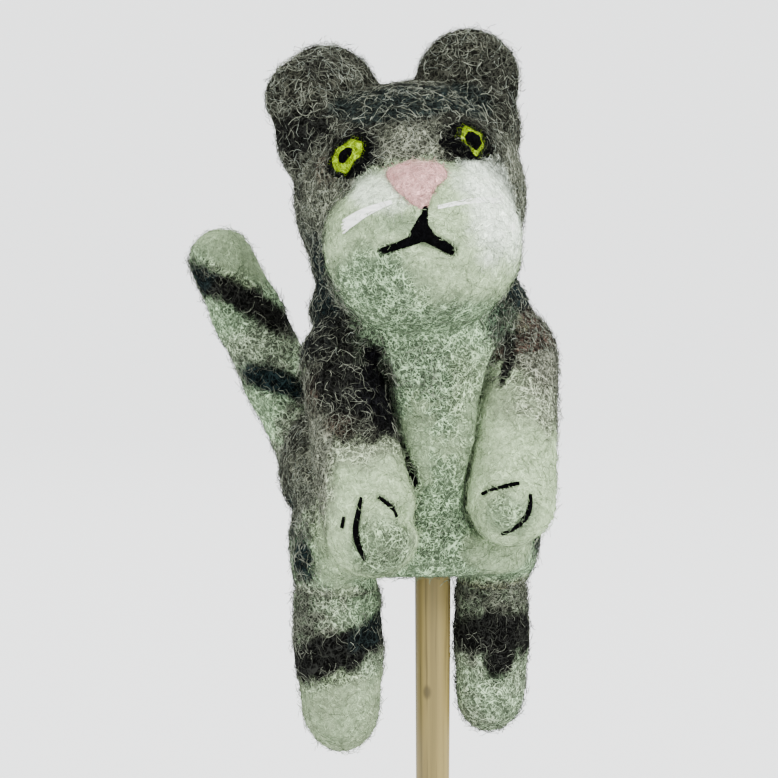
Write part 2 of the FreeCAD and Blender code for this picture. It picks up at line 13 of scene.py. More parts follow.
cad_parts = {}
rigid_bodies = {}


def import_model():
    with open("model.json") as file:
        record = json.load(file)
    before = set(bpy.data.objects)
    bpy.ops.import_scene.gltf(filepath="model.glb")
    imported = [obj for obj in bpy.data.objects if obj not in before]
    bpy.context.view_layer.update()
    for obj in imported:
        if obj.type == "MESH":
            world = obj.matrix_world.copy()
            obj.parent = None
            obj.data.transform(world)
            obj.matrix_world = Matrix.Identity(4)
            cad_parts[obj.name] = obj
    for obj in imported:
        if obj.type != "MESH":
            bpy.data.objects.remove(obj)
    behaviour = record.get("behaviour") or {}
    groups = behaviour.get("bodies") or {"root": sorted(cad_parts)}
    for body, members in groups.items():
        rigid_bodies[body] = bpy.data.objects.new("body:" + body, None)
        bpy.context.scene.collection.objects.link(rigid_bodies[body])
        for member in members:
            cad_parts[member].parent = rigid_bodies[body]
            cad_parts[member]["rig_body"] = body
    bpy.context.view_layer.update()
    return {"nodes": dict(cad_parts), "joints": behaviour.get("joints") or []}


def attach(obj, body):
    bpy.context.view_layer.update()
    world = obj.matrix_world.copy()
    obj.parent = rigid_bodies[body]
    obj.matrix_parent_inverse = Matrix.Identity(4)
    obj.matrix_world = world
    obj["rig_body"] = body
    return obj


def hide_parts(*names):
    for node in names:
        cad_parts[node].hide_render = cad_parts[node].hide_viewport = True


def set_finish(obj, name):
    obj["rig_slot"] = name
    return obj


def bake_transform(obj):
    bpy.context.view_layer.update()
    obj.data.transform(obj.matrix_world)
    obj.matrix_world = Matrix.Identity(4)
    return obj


bl_info = {
    "name": "Felted Cat Puppet",
    "version": (1, 0, 0),
    "blender": (4, 5, 0),
    "location": "View3D > Sidebar > Puppet",
    "description": "Wool skins, loose fibres, face and stick of a felted cat puppet",
    "category": "Object",
}

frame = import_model()

MM = 0.001
# Where each body turns, in mm.
PIVOTS = {joint["child"]: Vector(joint["pos_m"]) / MM
          for joint in frame["joints"] if joint["type"] == "hinge"}

# ------------------------------------------------------------------ settings


def colour(name, default, description):
    return FloatVectorProperty(name=name, description=description, default=default,
                               subtype="COLOR", size=3, min=0.0, max=1.0)


def length(name, default, description):
    return FloatProperty(name=name, description=description, default=default * MM,
                         min=0.0, unit="LENGTH", precision=5)


class PuppetSizes(bpy.types.PropertyGroup):
    """Sizes a maker would change"""

    felt_grain: length("Felt grain", 0.5, "Size of the facets the wool skin is made of")
    felt_lumps: length("Felt lumps", 0.22, "How far the hand-felted surface rises and falls")
    fibre_length: length("Fibre length", 5.0, "Length of one loose curly fibre")
    fibre_width: length("Fibre width", 0.072, "Thickness of one loose fibre")
    fibre_cover: FloatProperty(name="Fibre cover", default=2.05, min=0.0, max=6.0,
                               description="Loose fibres on each square millimetre")
    fibre_tilt: FloatProperty(name="Fibre tilt", default=math.radians(24), unit="ROTATION",
                              description="How far loose fibres lift from the skin")
    yarn_width: length("Yarn width", 0.86, "Thickness of the black yarn of the toes")


class PuppetColours(bpy.types.PropertyGroup):
    """Colours of the wools, the bristle, the stick and the backdrop"""

    tabby: colour("Tabby", (0.0088, 0.0091, 0.0068), "Grey-brown wool of back, ears and cheeks")
    tabby_light: colour("Light tabby", (0.092, 0.099, 0.073), "Paler grey wool between the eyes")
    brown: colour("Brown", (0.022, 0.0140, 0.0105), "Brown wool mixed into the tabby")
    charcoal: colour("Charcoal", (0.0024, 0.0025, 0.0022), "Dark wool of upper arms and bands")
    slate: colour("Slate", (0.0018, 0.0033, 0.0034), "Blue-green dark wool of forehead and hips")
    black: colour("Black", (0.0010, 0.0010, 0.0012), "Black wool of eyes and mouth")
    pale: colour("Pale", (0.375, 0.49, 0.285), "Green-white wool of muzzle and paws")
    # Pale shade is partly grey-green wool and partly the pale wool darkened as painted shade, on the
    # chest, under the chin and on the lower muzzle.
    pale_shade: colour("Pale shade", (0.118, 0.172, 0.100), "Grey-green wool of chest and belly")
    # On the right cheek this white is partly painted light, where the light falls.
    white: colour("White", (0.84, 0.94, 0.79), "Whitest wool, on the cheeks")
    pink: colour("Pink", (0.66, 0.37, 0.345), "Wool of the nose")
    iris: colour("Iris", (0.20, 0.31, 0.003), "Yellow-green wool of the eyes")
    loose: colour("Loose fibre", (0.43, 0.46, 0.36), "Light fibres caught in the tabby wool")
    wood: colour("Wood", (0.178, 0.134, 0.040), "Bare wood of the stick")
    bristle: colour("Bristle", (0.86, 0.88, 0.84), "Whisker bristles")
    backdrop: colour("Backdrop", (0.80, 0.81, 0.815), "Floor and backdrop")


def sizes():
    return bpy.context.scene.puppet_sizes


def colour_of(name):
    """One of the puppet's colours, as a numpy triple."""
    return np.array(getattr(bpy.context.scene.puppet_colours, name))


# ------------------------------------------------------------------ mesh helpers


def positions(mesh):
    """Vertex positions in millimetres."""
    co = np.empty(len(mesh.vertices) * 3, np.float32)
    mesh.vertices.foreach_get("co", co)
    return co.reshape(-1, 3).astype(float) / MM


def normals(mesh):
    """Outward direction at each vertex."""
    found = np.empty(len(mesh.vertices) * 3, np.float32)
    mesh.vertex_normals.foreach_get("vector", found)
    return found.reshape(-1, 3).astype(float)


def set_positions(mesh, points):
    mesh.vertices.foreach_set("co", (points * MM).astype(np.float32).ravel())
    mesh.update()


def ripple(points, size, seed=0.0):
    """Smooth noise from -1 to 1 at points in mm, with lumps about size mm across."""
    return np.array([noise.noise(Vector(p) / size + Vector((seed, -seed, 2 * seed)))
                     for p in points])


def linked(obj):
    """Puts an object into the scene."""
    bpy.context.scene.collection.objects.link(obj)
    return obj


def new_object(name, bm):
    """An object in the scene made from a bmesh, which is freed."""
    mesh = bpy.data.meshes.new(name)
    bm.to_mesh(mesh)
    bm.free()
    mesh.shade_smooth()
    return linked(bpy.data.objects.new(name, mesh))


def applied(obj):
    """Puts the result of an object's modifiers into its mesh."""
    graph = bpy.context.evaluated_depsgraph_get()
    made = bpy.data.meshes.new_from_object(obj.evaluated_get(graph),
                                           preserve_all_data_layers=True, depsgraph=graph)
    old = obj.data
    obj.modifiers.clear()
    obj.data = made
    made.name = obj.name
    if old.users == 0:
        bpy.data.meshes.remove(old)
    made.shade_smooth()
    return obj


def add_to(bm, part):
    """Adds a finished bmesh to another one."""
    scratch = bpy.data.meshes.new("scratch")
    part.to_mesh(scratch)
    part.free()
    bm.from_mesh(scratch)
    bpy.data.meshes.remove(scratch)


def smooth(bm, verts, passes):
    """Draws vertices towards their neighbours, so that creases and edges round off."""
    for _ in range(passes):
        bmesh.ops.smooth_vert(bm, verts=verts, factor=0.5, use_axis_x=True,
                              use_axis_y=True, use_axis_z=True)


def felted(obj, grain, passes):
    """Fuses a mesh into one skin and rounds its creases as felting does."""
    remesh = obj.modifiers.new("felting", "REMESH")
    remesh.mode = "VOXEL"
    remesh.voxel_size = grain
    remesh.adaptivity = 0.0
    applied(obj)
    bm = bmesh.new()
    bm.from_mesh(obj.data)
    smooth(bm, bm.verts, passes)
    bmesh.ops.recalc_face_normals(bm, faces=bm.faces)
    bm.to_mesh(obj.data)
    bm.free()
    obj.data.shade_smooth()
    return obj


# Noise on the skins: size of the lumps in mm, seed and share of the felt_lumps height.
SKIN_LUMPS = ((7.0, 3.1, 0.6), (2.6, 7.7, 0.4))


def skin_from(name, nodes, passes, extra=()):
    """A wool skin over the solids named, with any extra lumps given as (centre, radii)."""
    bm = bmesh.new()
    for node in nodes:
        part = bmesh.new()
        part.from_mesh(frame["nodes"][node].data)
        bmesh.ops.remove_doubles(part, verts=part.verts, dist=1e-6)
        add_to(bm, part)
    for centre, radii in extra:
        bmesh.ops.create_icosphere(bm, subdivisions=4, radius=MM, matrix=(
            Matrix.Translation(Vector(centre) * MM) @ Matrix.Diagonal((*radii, 1))))
    obj = felted(new_object(name, bm), sizes().felt_grain, passes)
    points = positions(obj.data)
    lumps = sum(share * ripple(points, size, seed) for size, seed, share in SKIN_LUMPS)
    rise = sizes().felt_lumps / MM * lumps
    set_positions(obj.data, points + normals(obj.data) * rise[:, None])
    return obj


def soften(obj, chosen, passes):
    """Smooths the vertices for which chosen is true."""
    bm = bmesh.new()
    bm.from_mesh(obj.data)
    smooth(bm, [v for v, wanted in zip(bm.verts, chosen) if wanted], passes)
    bm.to_mesh(obj.data)
    bm.free()
    obj.data.shade_smooth()


def along_line(points, path):
    """Distance of each point from a broken line, in mm."""
    best = np.full(len(points), 1e9)
    for a, b in zip(path, path[1:]):
        a, b = np.array(a, float), np.array(b, float)
        t = np.clip((points - a) @ (b - a) / ((b - a) @ (b - a)), 0, 1)
        best = np.minimum(best, np.linalg.norm(points - a - t[:, None] * (b - a), axis=1))
    return best


def press(obj, path, depth, width):
    """Presses a crease into a skin along a line, depth and width in mm."""
    points = positions(obj.data)
    fall = np.exp(-(along_line(points, path) / width) ** 2)
    set_positions(obj.data, points - normals(obj.data) * (depth * fall)[:, None])


def inflate(obj, height):
    """Moves a whole skin outwards by a height in mm."""
    set_positions(obj.data, positions(obj.data) + normals(obj.data) * height)


def swell(obj, centre, radius, height):
    """Raises a soft round swelling on a skin, radius and height in mm."""
    points = positions(obj.data)
    fall = np.exp(-(np.linalg.norm(points - np.array(centre), axis=1) / radius) ** 2)
    set_positions(obj.data, points + normals(obj.data) * (height * fall)[:, None])


class Surface:
    """A finished skin that small pieces are laid on."""

    REACH = 12     # how far outside the skin a search along a direction starts, in mm

    def __init__(self, obj):
        bm = bmesh.new()
        bm.from_mesh(obj.data)
        self.tree = BVHTree.FromBMesh(bm)
        bm.free()

    def at(self, point):
        """Nearest surface point to a point in mm, and the outward normal there."""
        place, normal, _, _ = self.tree.find_nearest(Vector(point) * MM)
        return place / MM, normal

    def under(self, point, direction):
        """Surface point in mm met from outside along a direction, and its normal."""
        start = Vector(point) - self.REACH * Vector(direction)
        place, normal, _, _ = self.tree.ray_cast(start * MM, Vector(direction))
        return (place / MM, normal) if place is not None else self.at(point)


def pad(bm, surface, centre, half_width, half_height, thickness, turn=0.0, taper=0.0,
        ragged=0.0, lift=0.0):
    """Lays a soft lens of wool on a surface.

    taper narrows its lower end, ragged makes its rim uneven and turn rotates it.
    """
    middle, out = surface.at(centre)
    out = Vector(out)
    side = Vector((0, 0, 1)).cross(out).normalized()
    up = out.cross(side)
    spin = Matrix.Rotation(turn, 3, out)
    side, up = spin @ side, spin @ up
    lens = bmesh.new()
    bmesh.ops.create_uvsphere(lens, u_segments=28, v_segments=14, radius=1.0)
    for vert in lens.verts:
        x, y, z = vert.co
        narrow = 1 - taper * (1 - y) / 2
        wave = 1 + ragged * noise.noise(Vector((math.atan2(y, x) * 1.6, z, centre[0])))
        flat = middle + side * x * half_width * narrow * wave + up * y * half_height * wave
        place, normal = surface.under(flat, -out)
        vert.co = (place + normal * (z * thickness + lift)) * MM
    add_to(bm, lens)


def yarn(name, surface, strokes, sink):
    """Strands laid on a surface: each stroke is (points, radii) in mm, sunk in by a share."""
    curve = bpy.data.curves.new(name, "CURVE")
    curve.dimensions = "3D"
    curve.bevel_depth = MM
    curve.bevel_resolution = 2
    curve.use_fill_caps = True
    for points, radii in strokes:
        spline = curve.splines.new("NURBS")
        spline.points.add(len(points) - 1)
        for knot, point, radius in zip(spline.points, points, radii):
            place, normal = surface.at(point)
            knot.co = (*((place + normal * radius * (1 - 2 * sink)) * MM), 1)
            knot.radius = radius
        spline.order_u = 3
        spline.use_endpoint_u = True
        spline.resolution_u = 8
    holder = linked(bpy.data.objects.new(name, curve))
    graph = bpy.context.evaluated_depsgraph_get()
    mesh = bpy.data.meshes.new_from_object(holder.evaluated_get(graph))
    bpy.data.objects.remove(holder)
    mesh.shade_smooth()
    return linked(bpy.data.objects.new(name, mesh))


# ------------------------------------------------------------------ colouring


class Patch:
    """A soft-edged patch of another wool: colour name, centre, half sizes in mm, tilt."""

    def __init__(self, tone, centre, half, tilt=0.0, soft=0.35, ragged=0.30, amount=1.0):
        self.tone, self.centre, self.half = tone, np.array(centre, float), np.array(half, float)
        self.tilt, self.soft, self.ragged, self.amount = math.radians(tilt), soft, ragged, amount

    def weight(self, points, broad, fine):
        offset = points - self.centre
        c, s = math.cos(self.tilt), math.sin(self.tilt)
        turned = np.stack([offset[:, 0] * c + offset[:, 2] * s, offset[:, 1],
                           offset[:, 2] * c - offset[:, 0] * s], axis=1)
        distance = np.linalg.norm(turned / self.half, axis=1)
        return self.fade(distance + self.ragged * (0.7 * broad + 0.5 * fine))

    def fade(self, distance):
        """Share of this wool at a distance that is 1 on the patch's edge."""
        w = np.clip((1 + self.soft / 2 - distance) / self.soft, 0, 1)
        return self.amount * w * w * (3 - 2 * w)


class Stripe(Patch):
    """A line of another wool: colour name, points in mm and half width in mm."""

    def __init__(self, tone, path, half, soft=0.5, ragged=0.25, amount=1.0):
        super().__init__(tone, path[0], (half,) * 3, 0.0, soft, ragged, amount)
        self.path = path

    def weight(self, points, broad, fine):
        distance = along_line(points, self.path) / self.half[0]
        return self.fade(distance + self.ragged * (0.5 * broad + 0.5 * fine))


def dye(obj, ground, patches=(), mottle=None, mottle_amount=0.5):
    """Stores each point's wool colour as 'tint' and its resting place as 'rest'."""
    points = positions(obj.data)
    broad, fine = ripple(points, 4.2, 1.3), ripple(points, 1.1, 5.9)
    tint = np.tile(colour_of(ground), (len(points), 1))
    if mottle:
        w = np.clip(0.5 + 1.1 * broad + 0.9 * fine, 0, 1)[:, None] * mottle_amount
        tint = tint * (1 - w) + colour_of(mottle) * w
    for patch in patches:
        w = patch.weight(points, broad, fine)[:, None]
        tint = tint * (1 - w) + colour_of(patch.tone) * w
    tint *= (1 + 0.16 * fine + 0.10 * broad)[:, None]
    mesh = obj.data
    layer = mesh.attributes.new("tint", "FLOAT_COLOR", "POINT")
    rgba = np.ones((len(points), 4), np.float32)
    rgba[:, :3] = np.clip(tint, 0.0008, 0.95)
    layer.data.foreach_set("color", rgba.ravel())
    rest = mesh.attributes.new("rest", "FLOAT_VECTOR", "POINT")
    rest.data.foreach_set("vector", points.astype(np.float32).ravel())
    return obj


# ------------------------------------------------------------------ materials


class Nodes:
    """Adds nodes to the node tree in self.tree and joins them."""

    def node(self, kind, inputs=None, **settings):
        made = self.tree.nodes.new(kind)
        for key, value in settings.items():
            setattr(made, key, value)
        for key, value in (inputs or {}).items():
            self.put(made, key, value)
        return made

    def put(self, node, key, value):
        if isinstance(value, bpy.types.NodeSocket):
            self.tree.links.new(value, node.inputs[key])
        else:
            node.inputs[key].default_value = value

    def math(self, operation, a, b=None):
        inputs = {0: a} if b is None else {0: a, 1: b}
        return self.node("ShaderNodeMath", inputs, operation=operation).outputs[0]


class Shader(Nodes):
    """Builds a material."""

    def __init__(self, name):
        self.material = bpy.data.materials.new(name)
        self.material.use_nodes = True
        self.tree = self.material.node_tree
        self.surface = self.tree.nodes["Principled BSDF"]

    def mix(self, factor, a, b, blend="MIX"):
        made = self.node("ShaderNodeMix", data_type="RGBA", blend_type=blend)
        self.put(made, 0, factor)
        self.put(made, 6, a)
        self.put(made, 7, b)
        return made.outputs[2]

    def tone(self, colour, factor):
        """A colour made darker or lighter by a factor."""
        return self.node("ShaderNodeVectorMath", operation="SCALE", inputs={
            0: colour, "Scale": factor}).outputs[0]

    def ramp(self, value, low, high, to_low=0.0, to_high=1.0):
        return self.node("ShaderNodeMapRange", interpolation_type="SMOOTHSTEP", inputs={
            "Value": value, "From Min": low, "From Max": high,
            "To Min": to_low, "To Max": to_high}).outputs["Result"]

    def finish(self, base, height, strength, distance, roughness, **constants):
        """Joins colour and bump to the shader and sets its constant values."""
        self.put(self.surface, "Base Color", base)
        bump = self.node("ShaderNodeBump", inputs={
            "Height": height, "Strength": strength, "Distance": distance})
        self.put(self.surface, "Normal", bump.outputs["Normal"])
        self.put(self.surface, "Roughness", roughness)
        for key, value in constants.items():
            self.put(self.surface, key.replace("_", " "), value)
        return self.material


# Layers of fibres drawn on the skin: strands to a millimetre, seed, width and brightness.
STRAND_LAYERS = ((0.42, 3.0, 0.017, 1.0), (0.52, 11.0, 0.019, 0.85), (0.66, 23.0, 0.021, 0.95),
                 (0.84, 37.0, 0.025, 0.7), (1.2, 53.0, 0.032, 0.6))


def strands(shader, place, scale, seed, width):
    """Thin wandering lines, as of curly fibres lying on the skin. Place is in mm."""
    moved = shader.node("ShaderNodeVectorMath", operation="ADD", inputs={
        0: place, 1: (seed, -2 * seed, 3 * seed)})
    field = shader.node("ShaderNodeTexNoise", inputs={
        "Vector": moved.outputs[0], "Scale": scale, "Detail": 1.5, "Roughness": 0.45,
        "Distortion": 0.45}).outputs["Fac"]
    off = shader.math("ABSOLUTE", shader.math("SUBTRACT", field, 0.5))
    return shader.ramp(off, width * 0.3, width, 1.0, 0.0)


def wool_material(name="felted_wool", gap_shade=0.22, dark_lines=7.0):
    """Felt coloured by the dyed wool, with fine lighter strands over gaps darkened as painted shade;
    on pale wool the strands' lightening is a painted highlight.
    """
    shader = Shader(name)
    tint = shader.node("ShaderNodeAttribute", attribute_name="tint").outputs["Color"]
    place = shader.node("ShaderNodeAttribute", attribute_name="rest").outputs["Vector"]
    level = shader.node("ShaderNodeRGBToBW", inputs={0: tint}).outputs[0]
    lines = 0.0
    for scale, seed, width, bright in STRAND_LAYERS:
        layer = strands(shader, place, scale, seed, width)
        lines = shader.math("MAXIMUM", shader.math("MULTIPLY", layer, bright), lines)
    clouds = shader.node("ShaderNodeTexNoise", inputs={
        "Vector": place, "Scale": 1.6, "Detail": 4.0, "Roughness": 0.65}).outputs["Fac"]
    grain = shader.node("ShaderNodeTexNoise", inputs={
        "Vector": place, "Scale": 7.0, "Detail": 2.0}).outputs["Fac"]
    # Painted shade: the ground between the strands is darkened where the clouds say, most on dark
    # wool.
    deepest_shade = shader.ramp(level, 0.02, 0.28, gap_shade, 0.64)
    depth = shader.ramp(clouds, 0.36, 0.66, deepest_shade, 1.0)
    ground = shader.tone(tint, depth)
    # On dark wool the lighter strands are light fibres; on pale wool their lightening by 1.3 is a
    # painted highlight.
    strand = shader.tone(tint, shader.ramp(level, 0.01, 0.30, dark_lines, 1.30))
    base = shader.mix(lines, ground, strand)
    height = shader.math("ADD", shader.math("MULTIPLY", lines, 0.9), shader.math(
        "ADD", shader.math("MULTIPLY", clouds, 0.7), shader.math("MULTIPLY", grain, 0.25)))
    roughness = shader.ramp(clouds, 0.2, 0.8, 0.88, 0.98)
    return shader.finish(base, height, 0.8, 0.0004, roughness,
                         Sheen_Weight=0.0, Specular_IOR_Level=0.015)


def black_wool_material():
    """Black felt, with barely lighter strands."""
    return wool_material("black_wool", gap_shade=0.6, dark_lines=2.5)


def fibre_material():
    """Single wool fibres: their own dye, slightly streaked along each one."""
    shader = Shader("wool_fibre")
    tint = shader.node("ShaderNodeAttribute", attribute_name="tint").outputs["Color"]
    uv = shader.node("ShaderNodeUVMap", uv_map="OFBake").outputs["UV"]
    streak = shader.node("ShaderNodeTexNoise", inputs={
        "Vector": uv, "Scale": 420.0, "Detail": 1.0}).outputs["Fac"]
    base = shader.mix(shader.ramp(streak, 0.3, 0.7), shader.mix(
        1.0, tint, (0.82, 0.82, 0.82, 1), "MULTIPLY"), tint)
    return shader.finish(base, streak, 0.2, 0.00002, shader.ramp(streak, 0.3, 0.7, 0.7, 0.85),
                         Sheen_Weight=0.0, Specular_IOR_Level=0.05)


def bristle_material():
    """White bristles with a soft gloss."""
    white = tuple(colour_of("bristle"))
    shader = Shader("bristle")
    place = shader.node("ShaderNodeTexCoord").outputs["Object"]
    stretched = shader.node("ShaderNodeMapping", inputs={
        "Vector": place, "Scale": (300, 300, 2400)}).outputs["Vector"]
    streak = shader.node("ShaderNodeTexNoise", inputs={
        "Vector": stretched, "Scale": 1.0, "Detail": 2.0}).outputs["Fac"]
    shaded = tuple(c * 0.80 for c in white)
    base = shader.mix(shader.ramp(streak, 0.35, 0.65), (*shaded, 1), (*white, 1))
    return shader.finish(base, streak, 0.3, 0.00005, shader.ramp(streak, 0.3, 0.7, 0.3, 0.45),
                         Specular_IOR_Level=0.5)


KNOT, KNOT_LENGTH = (-1.4, -2.2, 66.7), 1 / 0.62     # its middle in mm, and length over width


def wood_material():
    """Pale planed wood with long vertical grain, a small knot and a handled look."""
    wood = colour_of("wood")
    shader = Shader("grained_wood")
    place = shader.node("ShaderNodeTexCoord").outputs["Object"]
    long_grain = shader.node("ShaderNodeMapping", inputs={
        "Vector": place, "Scale": (1500, 1500, 30)}).outputs["Vector"]
    broad_grain = shader.node("ShaderNodeMapping", inputs={
        "Vector": place, "Scale": (620, 620, 9)}).outputs["Vector"]
    pores = shader.node("ShaderNodeTexNoise", inputs={
        "Vector": long_grain, "Scale": 1.0, "Detail": 3.0, "Roughness": 0.6}).outputs["Fac"]
    bands = shader.node("ShaderNodeTexNoise", inputs={
        "Vector": broad_grain, "Scale": 1.0, "Detail": 2.0}).outputs["Fac"]
    light, dark = tuple(wood * 1.12), tuple(wood * 0.66)
    base = shader.mix(shader.ramp(bands, 0.32, 0.68), (*dark, 1), (*light, 1))
    base = shader.mix(shader.ramp(pores, 0.50, 0.66, 0.0, 0.75), base,
                      (*(wood * 0.38), 1))
    knot = shader.node("ShaderNodeVectorMath", operation="DISTANCE", inputs={
        0: shader.node("ShaderNodeMapping", inputs={
            "Vector": place, "Scale": (1, 1, 1 / KNOT_LENGTH)}).outputs["Vector"],
        1: (KNOT[0] * MM, KNOT[1] * MM, KNOT[2] * MM / KNOT_LENGTH)}).outputs["Value"]
    base = shader.mix(shader.ramp(knot, 0.0003, 0.0009, 0.75, 0.0), base,
                      (*(wood * 0.22), 1))
    height = shader.math("SUBTRACT", bands, shader.math("MULTIPLY", pores, 1.2))
    return shader.finish(base, height, 0.35, 0.00012, shader.ramp(bands, 0.3, 0.7, 0.50, 0.66),
                         Specular_IOR_Level=0.35)


def backdrop_material():
    """Even pale grey that lights itself, so that no shadow falls on it."""
    shader = Shader("backdrop")
    tone = colour_of("backdrop")
    for key, value in {"Base Color": (*(0.3 * tone), 1), "Roughness": 0.95,
                       "Emission Color": (*tone, 1), "Emission Strength": 2.5,
                       "Specular IOR Level": 0.1}.items():
        shader.put(shader.surface, key, value)
    return shader.material


def material(name, build):
    """The material of that name, built the first time it is asked for."""
    return bpy.data.materials.get(name) or build()


def dress(obj, made=None):
    """Gives a piece its one material, plain felted wool if none is named."""
    obj.data.materials.clear()
    obj.data.materials.append(made or material("felted_wool", wool_material))
    return obj


# ------------------------------------------------------------------ fibres


STRAND_SHAPES = 14     # different curls among the fibres
STRAND_STEPS = 7       # straight pieces in one curl


def fibre_template(index, folder):
    """One curly three-sided strand, capped at both ends."""
    stride = sizes().fibre_length / STRAND_STEPS
    bm = bmesh.new()
    layer = bm.loops.layers.uv.new("strand")
    ring = bmesh.ops.create_circle(bm, segments=3, radius=sizes().fibre_width / 2,
                                   matrix=Matrix.Rotation(math.pi / 2, 4, "Y"))["verts"]
    cap = bmesh.ops.contextual_create(bm, geom=ring)["faces"][0]
    seed = Vector((index * 3.7, 0.5, 0))
    heading, centre = 0.0, Vector()
    for step in range(STRAND_STEPS):
        wave = 0.9 * math.sin(step * 0.9 + index * 1.9)
        swing = wave + 1.5 * noise.noise(seed + Vector((step * 0.6, 0, 0)))
        rise = 0.5 * noise.noise(seed + Vector((0, step * 0.7, 4.0)))
        move = Vector((math.cos(heading), math.sin(heading), rise)) * stride
        grown = bmesh.ops.extrude_face_region(bm, geom=[cap], use_keep_orig=step == 0)["geom"]
        cap = next(g for g in grown if isinstance(g, bmesh.types.BMFace))
        centre += move
        bmesh.ops.translate(bm, verts=cap.verts, vec=move)
        bmesh.ops.rotate(bm, verts=cap.verts, cent=centre,
                         matrix=Matrix.Rotation(swing, 3, "Z"))
        heading += swing
    bmesh.ops.recalc_face_normals(bm, faces=bm.faces)
    middle = sum((v.co for v in bm.verts), Vector()) / len(bm.verts)
    bmesh.ops.translate(bm, verts=bm.verts, vec=-middle)
    for number, face in enumerate(bm.faces):
        for corner, loop in enumerate(face.loops):
            loop[layer].uv = ((number + 0.5 + 0.3 * (corner in (1, 2))) / (len(bm.faces) + 1),
                              0.35 + 0.3 * (corner > 1))
    obj = new_object(f"strand_{index}", bm)
    bpy.context.scene.collection.objects.unlink(obj)
    folder.objects.link(obj)


def fibre_folder():
    """The collection that holds one strand of each curl."""
    folder = bpy.data.collections.get("strands")
    if folder is None:
        folder = bpy.data.collections.new("strands")
        for index in range(STRAND_SHAPES):
            fibre_template(index, folder)
    return folder


class Tree(Nodes):
    """Builds a geometry node tree that turns a skin into fibres."""

    def __init__(self, name):
        self.tree = bpy.data.node_groups.new(name, "GeometryNodeTree")
        self.tree.interface.new_socket("Skin", in_out="INPUT", socket_type="NodeSocketGeometry")
        self.tree.interface.new_socket("Fibres", in_out="OUTPUT",
                                       socket_type="NodeSocketGeometry")
        self.skin = self.tree.nodes.new("NodeGroupInput").outputs[0]
        self.out = self.tree.nodes.new("NodeGroupOutput").inputs[0]

    def attribute(self, name, kind):
        return self.node("GeometryNodeInputNamedAttribute", {"Name": name},
                         data_type=kind).outputs["Attribute"]

    def chance(self, low, high, seed, kind="FLOAT"):
        made = self.node("FunctionNodeRandomValue", data_type=kind)
        ports = [s for s in made.inputs if s.enabled]
        ports[0].default_value, ports[1].default_value = low, high
        made.inputs["Seed"].default_value = seed
        return next(s for s in made.outputs if s.enabled)

    def store(self, geometry, name, value, kind, domain):
        return self.node("GeometryNodeStoreNamedAttribute", {
            "Geometry": geometry, "Name": name, "Value": value},
            data_type=kind, domain=domain).outputs[0]


FIBRE_TONES = (0.5, 1.25)     # a fibre's own wool is made darker or lighter by up to these
FIBRE_SIZES = (0.6, 1.3)      # smallest and largest fibre, in parts of the full size
# How the share of light fibres falls as the wool under them gets paler.
LIGHT_FADE = {"From Min": 0.09, "From Max": 0.22, "To Min": 1.0, "To Max": 0.22}


def fibre_tree(seed, cover, tilt, light, light_share, scale):
    """Strands strewn over a skin, each dyed like the wool beneath it or lighter.

    Few fibres are lighter on wool that is already pale, as LIGHT_FADE says.
    """
    t = Tree("strewn_fibres")
    dense = t.math("MULTIPLY", t.attribute("nap", "FLOAT"), cover * 1e6)
    points = t.node("GeometryNodeDistributePointsOnFaces", {
        "Mesh": t.skin, "Density": dense, "Seed": seed}, distribute_method="RANDOM")
    shade = t.chance(0.0, 1.0, seed + 1)
    level = t.node("ShaderNodeVectorMath", {0: t.attribute("tint", "FLOAT_COLOR")},
                   operation="LENGTH").outputs["Value"]
    kept = t.node("ShaderNodeMapRange", {"Value": level, **LIGHT_FADE}).outputs["Result"]
    pale = t.math("MULTIPLY", t.math("MULTIPLY", t.math("POWER", shade, 1.5), light_share), kept)
    own = t.node("ShaderNodeVectorMath", {
        0: t.attribute("tint", "FLOAT_COLOR"), "Scale": t.chance(*FIBRE_TONES, seed + 5)},
        operation="SCALE").outputs[0]
    blend = t.node("ShaderNodeMix", {0: pale}, data_type="RGBA", blend_type="LIGHTEN")
    t.tree.links.new(own, blend.inputs[6])
    blend.inputs[7].default_value = (*light, 1)
    dyed = t.store(points.outputs["Points"], "tint", blend.outputs[2], "FLOAT_COLOR", "POINT")
    index = t.node("GeometryNodeInputIndex").outputs[0]
    counted = t.store(dyed, "fibre", index, "INT", "POINT")
    lean = t.chance((-tilt, -tilt, -math.pi), (tilt, tilt, math.pi), seed + 2, "FLOAT_VECTOR")
    turn = t.node("FunctionNodeEulerToRotation", {"Euler": lean})
    turned = t.node("FunctionNodeRotateRotation", {
        "Rotation": points.outputs["Rotation"], "Rotate By": turn.outputs[0]},
        rotation_space="LOCAL")
    choices = t.node("GeometryNodeCollectionInfo", {
        "Collection": fibre_folder(), "Separate Children": True, "Reset Children": True})
    strewn = t.node("GeometryNodeInstanceOnPoints", {
        "Points": counted, "Instance": choices.outputs[0], "Pick Instance": True,
        "Instance Index": t.chance(0, STRAND_SHAPES - 1, seed + 3, "INT"),
        "Rotation": turned.outputs[0],
        "Scale": t.chance((FIBRE_SIZES[0] * scale,) * 3, (FIBRE_SIZES[1] * scale,) * 3, seed + 4,
                          "FLOAT_VECTOR")})
    real = t.node("GeometryNodeRealizeInstances", {"Geometry": strewn.outputs[0]}).outputs[0]
    size = t.node("GeometryNodeAttributeDomainSize", {"Geometry": counted},
                  component="POINTCLOUD").outputs["Point Count"]
    rows = t.math("CEIL", t.math("SQRT", size))
    number = t.attribute("fibre", "INT")
    cell = t.node("ShaderNodeSeparateXYZ", {0: t.attribute("strand", "FLOAT_VECTOR")})
    column = t.math("ADD", t.math("MODULO", number, rows), cell.outputs[0])
    row = t.math("ADD", t.math("FLOOR", t.math("DIVIDE", number, rows)), cell.outputs[1])
    sheet = t.node("ShaderNodeCombineXYZ", {
        0: t.math("DIVIDE", column, rows), 1: t.math("DIVIDE", row, rows)})
    mapped = t.store(real, "OFBake", sheet.outputs[0], "FLOAT2", "CORNER")
    t.tree.links.new(mapped, t.out)
    return t.tree


